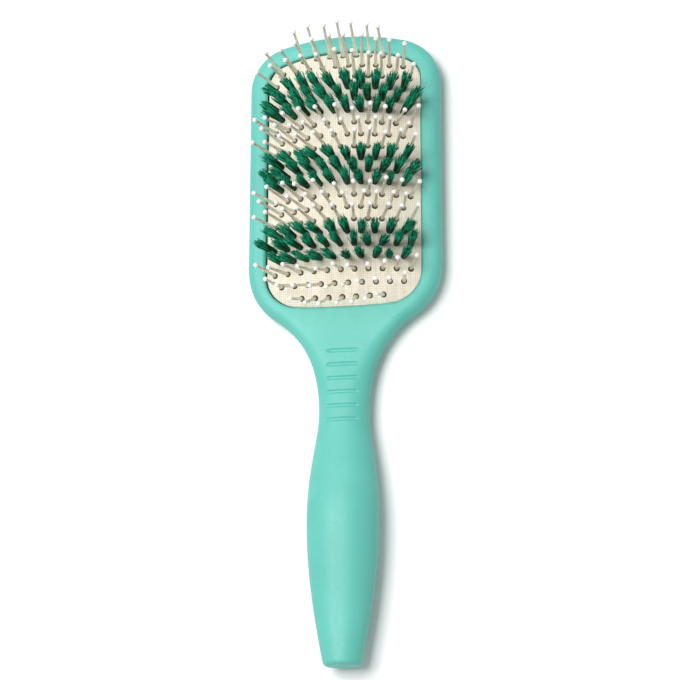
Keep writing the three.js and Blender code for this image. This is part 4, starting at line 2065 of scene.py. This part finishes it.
@dataclass
class Studio:
    """White floor, soft light from the upper left, and the photograph's camera."""

    aim: tuple[float, float, float] = (-0.00428, 0.00429, -0.00710)
    distance: float = 0.9
    turn: float = 0.18188
    tilt: float = 0.28197
    roll: float = 0.00316
    lens: float = 124.8
    sensor: float = 36.0
    clip_reach: float = 100.0
    floor_size: float = 6.0
    floor_tone: float = 0.95
    floor_glow: float = 0.035
    glow_tone: Colour = (1.0, 0.82, 0.9, 1.0)
    sky: float = 0.37
    key_power: float = 22.0
    key_size: float = 0.8
    key_place: tuple[float, float, float] = (-0.43, 0.13, 1.536)

    def build_camera(self) -> None:
        """Makes the scene's camera."""
        data = bpy.data.cameras.new("camera")
        data.lens = self.lens
        data.sensor_width = self.sensor
        data.clip_start = self.distance / self.clip_reach
        data.clip_end = self.distance * self.clip_reach
        camera = bpy.data.objects.new("camera", data)
        bpy.context.scene.collection.objects.link(camera)
        turned = (
            Matrix.Rotation(self.turn, 4, "Y")
            @ Matrix.Rotation(self.tilt, 4, "X")
            @ Matrix.Rotation(self.roll, 4, "Z")
        )
        back = Matrix.Translation((0, 0, self.distance))
        camera.matrix_world = Matrix.Translation(self.aim) @ turned @ back
        bpy.context.scene.camera = camera

    def build_lamp(self) -> None:
        """Makes the square area lamp that faces the brush."""
        data = bpy.data.lights.new("key_lamp", "AREA")
        data.energy = self.key_power
        data.size = self.key_size
        lamp = bpy.data.objects.new("key_lamp", data)
        lamp.location = self.key_place
        lamp.rotation_mode = "QUATERNION"
        lamp.rotation_quaternion = (-Vector(self.key_place)).to_track_quat("-Z", "Y")
        bpy.context.scene.collection.objects.link(lamp)

    def seen_directly(self, shader: Shader) -> Socket:
        """Returns 1 for rays from the camera or by way of gloss or glass, else 0."""
        path = shader.node("ShaderNodeLightPath")
        gloss = shader.math(
            "MAXIMUM",
            path.outputs["Is Glossy Ray"],
            path.outputs["Is Transmission Ray"],
        )
        return shader.math("MAXIMUM", path.outputs["Is Camera Ray"], gloss)

    def build_world(self) -> None:
        """Makes an even sky that is seen as white."""
        world = bpy.data.worlds.new("studio_world")
        world.use_nodes = True
        bpy.context.scene.world = world
        shader = Shader(world.node_tree)
        background = world.node_tree.nodes["Background"]
        seen = self.seen_directly(shader)
        strength = shader.ramp(seen, (0.0, 1.0), (self.sky, 1.0))
        shader.fill(background, {"Color": (1, 1, 1, 1), "Strength": strength})

    def build_floor(self) -> None:
        """Makes the white floor that keeps the brush's shadow."""
        bm = bmesh.new()
        bmesh.ops.create_grid(bm, x_segments=1, y_segments=1, size=self.floor_size / 2)
        floor = new_piece("floor", bm)
        material = bpy.data.materials.new("floor_white")
        material.use_nodes = True
        shader = Shader(material.node_tree)
        principled = material.node_tree.nodes["Principled BSDF"]
        seen = self.seen_directly(shader)
        inputs = {
            "Base Color": (self.floor_tone, self.floor_tone, self.floor_tone, 1.0),
            "Roughness": 1.0,
            "Specular IOR Level": 0.0,
            "Emission Color": self.glow_tone,
            "Emission Strength": shader.math("MULTIPLY", seen, self.floor_glow),
        }
        shader.fill(principled, inputs)
        floor.data.materials.append(material)

    def build(self) -> None:
        """Makes the camera, the world, the lamp and the floor."""
        self.build_camera()
        self.build_world()
        self.build_floor()
        self.build_lamp()
        bpy.context.scene.view_settings.view_transform = "Standard"


def report(piece: bpy.types.Object) -> None:
    """Logs a piece's name and its number of faces."""
    LOG.info("%s: %d faces", piece.name, len(piece.data.polygons))


def main() -> None:
    """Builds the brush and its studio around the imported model."""
    logging.basicConfig(level=logging.INFO)
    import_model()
    Studio().build()
    groups = Groups(fine_grain_group(), Weave().group(), strand_tone_group())
    shape = PaddleShape()

    shells = (
        Shell(shape, Side.FRONT, "front_moulding", "front_shell", ThumbGrooves()),
        Shell(shape, Side.BACK, "back_moulding", "back_shell"),
    )
    for shell in shells:
        moulding = shell.build()
        shell.dress(moulding, groups)
        report(moulding)

    crown = CrownShape(shape)
    cushion = Cushion(crown)
    pad = cushion.build_canvas()
    diaphragm = cushion.build_rubber()

    strands = StrandField(crown)
    pin_feet = []
    tuft_feet = []
    for band in range(crown.bands):
        is_tufts = band % 2 == 1
        scatter = strands.tuft_scatter if is_tufts else strands.pin_scatter
        feet = strands.feet_on(pad, band, scatter)
        if is_tufts:
            tuft_feet.append(feet)
        else:
            pin_feet += feet
    cushion.dress_canvas(pad, groups)
    cushion.dress_rubber(diaphragm, groups)
    report(pad)
    report(diaphragm)

    pins = strands.build_pins(pin_feet)
    strands.dress(pins, strands.nylon, Slot.PIN, groups)
    balls = strands.build_balls(pin_feet)
    strands.dress(balls, strands.ball, Slot.BALL, groups)
    every_foot = pin_feet + [foot for feet in tuft_feet for foot in feet]
    # The hole discs are painted shade down in the punched holes.
    holes = strands.build_holes(every_foot)
    strands.dress(holes, strands.shade, Slot.RUBBER, groups)
    hems = strands.build_hems(every_foot)
    strands.dress(hems, cushion.cloth, Slot.CANVAS, groups)
    for name, feet in zip(("handle_tufts", "middle_tufts", "head_tufts"), tuft_feet):
        tufts = strands.build_tufts(name, feet)
        strands.dress(tufts, strands.green, Slot.BRISTLE, groups)
        report(tufts)
    for piece in (pins, balls, holes, hems):
        report(piece)


if __name__ == "__main__":
    main()
